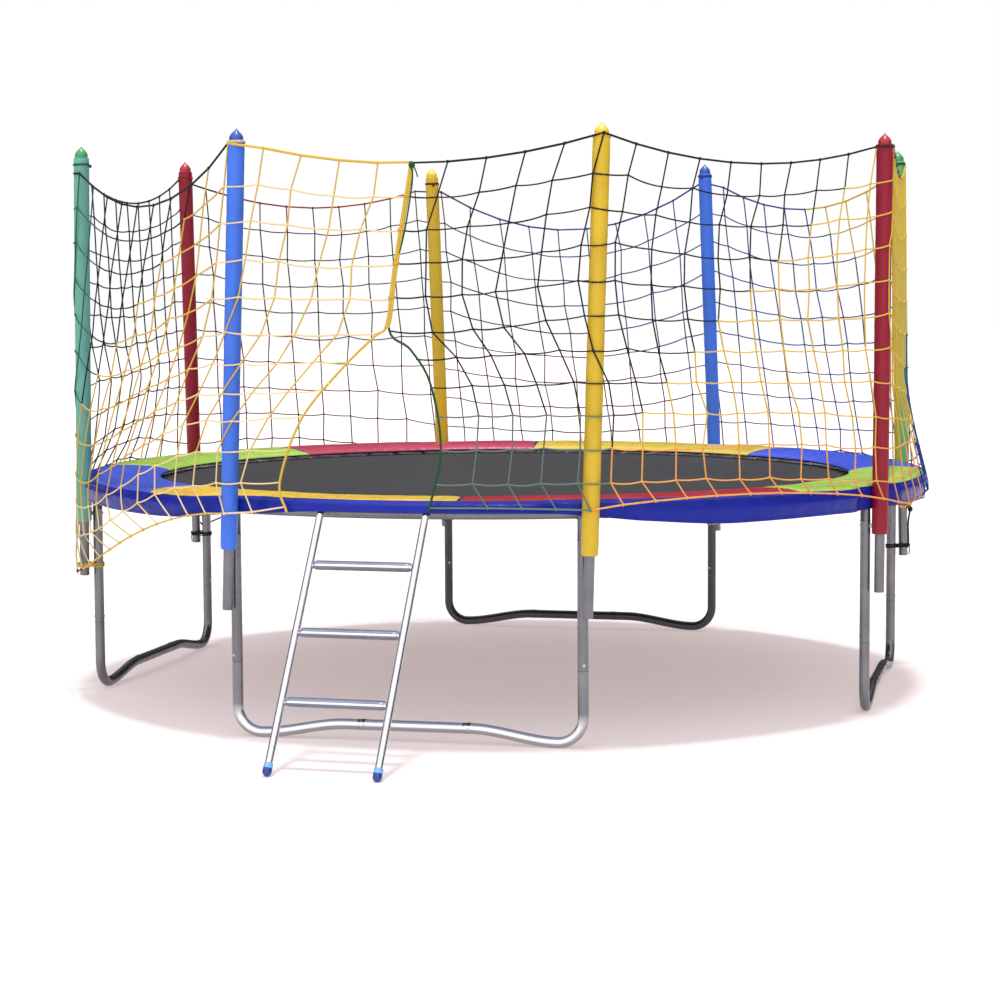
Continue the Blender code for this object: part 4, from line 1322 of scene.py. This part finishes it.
def rail_rings(base):
    """Cross-sections of a rail from the end of its flattened hook to its foot."""
    stations = []
    hook = TUBE_R + HOOK_CLEARANCE + HOOK_HALF_THICKNESS
    for step in range(31):
        normal = tilted(OUTWARD, 200 + (LADDER_SLOPE - 200) * step / 31)
        width = HOOK_HALF_WIDTH * (0.72 + 0.28 * smoothstep(step / 5))
        stations.append((base + normal * hook, normal, HOOK_HALF_THICKNESS, width))
    flattened, straight = np.linspace(0.008, 0.042, 13), np.linspace(0.07, LADDER_FOOT - 0.001, 27)
    for along in (0.0, 0.004, *flattened, *straight):
        share = smoothstep((along - 0.008) / 0.034)
        thickness = HOOK_HALF_THICKNESS + (RAIL_R - HOOK_HALF_THICKNESS) * share
        width = HOOK_HALF_WIDTH + (RAIL_R - HOOK_HALF_WIDTH) * share
        centre = base + RAIL_NORMAL * (TUBE_R + HOOK_CLEARANCE + thickness) + RAIL_DOWN * along
        stations.append((centre, RAIL_NORMAL, thickness, width))
    rings = []
    for centre, normal, thickness, width in stations:
        power = 1 - 0.45 * (1 - thickness / RAIL_R)
        ring = []
        for turn in turns(28, 0.5):
            across = width * rounded(cos(turn), power)
            ring.append(centre + SIDEWAYS * across + normal * thickness * rounded(sin(turn), power))
        rings.append(ring)
    return rings


def tread_slot(side):
    """Painted shade below, in a darker copy of the ladder metal; on top a rougher finish for the
    ribs, tinted bluish grey as a painted sky reflection; and the bright ladder metal along the
    edges.
    """
    height = sin(2 * pi * (TREAD_SIDES - 1.5 - side) / TREAD_SIDES)
    return 2 if height > 0.42 else 1 if height < 0.02 else 0


def tread_ring(middle, place, half):
    """A tread's cross-section: flattened where it enters the rails, and ribbed on top."""
    full = smoothstep((half - abs(place)) / 0.014)
    depth, thick = [end + growth * full for end, growth in zip(TREAD_END, TREAD_GROWTH)]
    ring = []
    for turn in turns(TREAD_SIDES):
        c, s = cos(turn), sin(turn)
        lift = thick * rounded(s, 0.8)
        if s > 0:
            lift += 0.00035 * cos(9 * pi * c) * full
        ring.append(middle + SIDEWAYS * place + OUTWARD * depth * c + UP * lift)
    return ring


def build_rails():
    for name, side in (("left", -1), ("right", 1)):
        base = PIVOT + SIDEWAYS * side * LADDER_WIDTH / 2
        shape = Shape()
        shape.loft(rail_rings(base), flip=True)
        paints, node = [LADDER_METAL], f"ladder_rail_{name}"
        shape.object(f"ladder_rail_tube_{name}", paints, "ladder_metal", node, "ladder", 60)

        shape = Shape()
        tilts = [radians(t) for t in (2, 15, 30, 45, 60, 75, 88)]
        profile = [(FOOT_R * sin(t), -FOOT_R * cos(t)) for t in tilts]
        profile += [(FOOT_R + change, z) for change, z in CUP_PROFILE]
        spot = base + RAIL_NORMAL * RAIL_OFFSET + RAIL_DOWN * LADDER_FOOT
        angles = turns(28)[:, None]
        spokes = np.cos(angles) * SIDEWAYS + np.sin(angles) * np.cross(-RAIL_DOWN, SIDEWAYS)
        slots = [1] * 28 * 8 + [0] * 28 * (len(profile) - 9)
        shape.loft([spot + r * spokes - h * RAIL_DOWN for r, h in profile], slots)
        paints, node = [FOOT_LIGHT, FOOT_DARK], f"ladder_foot_{name}"
        shape.object(f"ladder_foot_cup_{name}", paints, "foot_blue", node, "ladder")


def build_treads():
    half = LADDER_WIDTH / 2 - RAIL_R
    ends = [half - inset for inset in (-0.003, 0.002, 0.008, 0.016, 0.026, 0.036)]
    places = [-end for end in ends] + list(np.linspace(0.06 - half, half - 0.06, 12)) + ends[::-1]
    for number, along in enumerate(LADDER_STEPS):
        middle = PIVOT + RAIL_NORMAL * RAIL_OFFSET + RAIL_DOWN * along
        slots = [tread_slot(side) for side in range(TREAD_SIDES)] * (len(places) - 1)
        shape = Shape()
        shape.loft([tread_ring(middle, place, half) for place in places], slots, flip=True)
        for side in (-1, 1):
            weld = []
            for turn in turns(28):
                reach = side * (half + 0.001 - 0.002 * abs(cos(turn)))
                around = OUTWARD * 0.0155 * cos(turn) + UP * 0.0072 * sin(turn)
                weld.append(middle + SIDEWAYS * reach + around)
            shape.tube(weld, 0.0019, 6, 0, loop=True)
        name, node = f"ladder_tread_{number + 1}", f"ladder_step_{number + 1}"
        # Slot 1 paints the underside's shade and slot 2 the top's sky reflection.
        paints = [LADDER_METAL, TREAD_PAINTED_SHADE, TREAD_TOP]
        shape.object(name, paints, "ladder_metal", node, "ladder", 60)


# ---- Stage -----------------------------------------------------------------------------------


def build_floor():
    bpy.ops.mesh.primitive_circle_add(vertices=96, radius=60, fill_type="NGON", location=(0, 0, 0))
    floor_disc = bpy.context.active_object
    floor_disc.name = "floor"
    material = bpy.data.materials.new("floor_pale")
    nodes = Nodes(material)
    nodes.tree.nodes.clear()
    diffuse = nodes.node("BsdfDiffuse", {"Color": (0.52, 0.51, 0.51)})
    glow = nodes.node("Emission", {"Color": (0.462, 0.370, 0.370)})
    both = nodes.node("AddShader", {0: diffuse.outputs[0], 1: glow.outputs[0]})
    nodes.node("OutputMaterial", {0: both.outputs[0]})
    floor_disc.data.materials.append(material)


def build_light():
    sun = bpy.data.lights.new("overhead", "SUN")
    sun.energy = 2.3
    sun.angle = radians(7)
    holder = bpy.data.objects.new("overhead", sun)
    holder.rotation_euler = (radians(2), radians(2), 0)
    bpy.context.scene.collection.objects.link(holder)

    world = bpy.data.worlds.new("studio")
    bpy.context.scene.world = world
    nodes = Nodes(world)
    parts = nodes.split(nodes.node("TexCoord", {}).outputs["Generated"])
    soft = {"interpolation_type": "SMOOTHSTEP"}
    front = nodes.range(parts["Y"], 0.95, 0.0, -0.92, -0.15, **soft)
    sides = nodes.range(parts["Y"], 0.34, 0.04, -0.35, 0.30, **soft)
    above = nodes.range(parts["Z"], 0.0, 0.80, 0.25, 0.85, **soft)
    total = nodes.sum(nodes.sum(front, sides), above)
    # The camera sees plain white, whatever the strength of the light.
    seen = nodes.node("LightPath", {}).outputs["Is Camera Ray"]
    strength = nodes.node("Mix", {"Factor": seen, 2: total, 3: 1.0}).outputs[0]
    background = nodes.tree.nodes["Background"]
    nodes.feed(background.inputs["Strength"], strength)
    nodes.feed(background.inputs["Color"], (1.0, 1.0, 1.0))


def build_camera():
    data = bpy.data.cameras.new("camera")
    data.lens = 90
    data.sensor_width = 36
    data.clip_end = 200
    camera = bpy.data.objects.new("camera", data)
    yaw = Matrix.Rotation(radians(13.24), 4, "Z")
    pitch = Matrix.Rotation(radians(90 - 4.905), 4, "X")
    roll = Matrix.Rotation(radians(-0.32), 4, "Z")
    spot = Matrix.Translation((2.546, -10.914 + CENTRE[1], 1.764))
    camera.matrix_world = spot @ yaw @ pitch @ roll
    bpy.context.scene.collection.objects.link(camera)
    bpy.context.scene.camera = camera


bpy.context.scene.view_settings.view_transform = "Standard"
build_legs()
build_ring()
build_poles()
build_mat()
build_springs()
build_panels()
build_seams()
build_skirt()
build_net()
build_ties()
build_rails()
build_treads()
build_floor()
build_light()
build_camera()

bpy.context.view_layer.update()
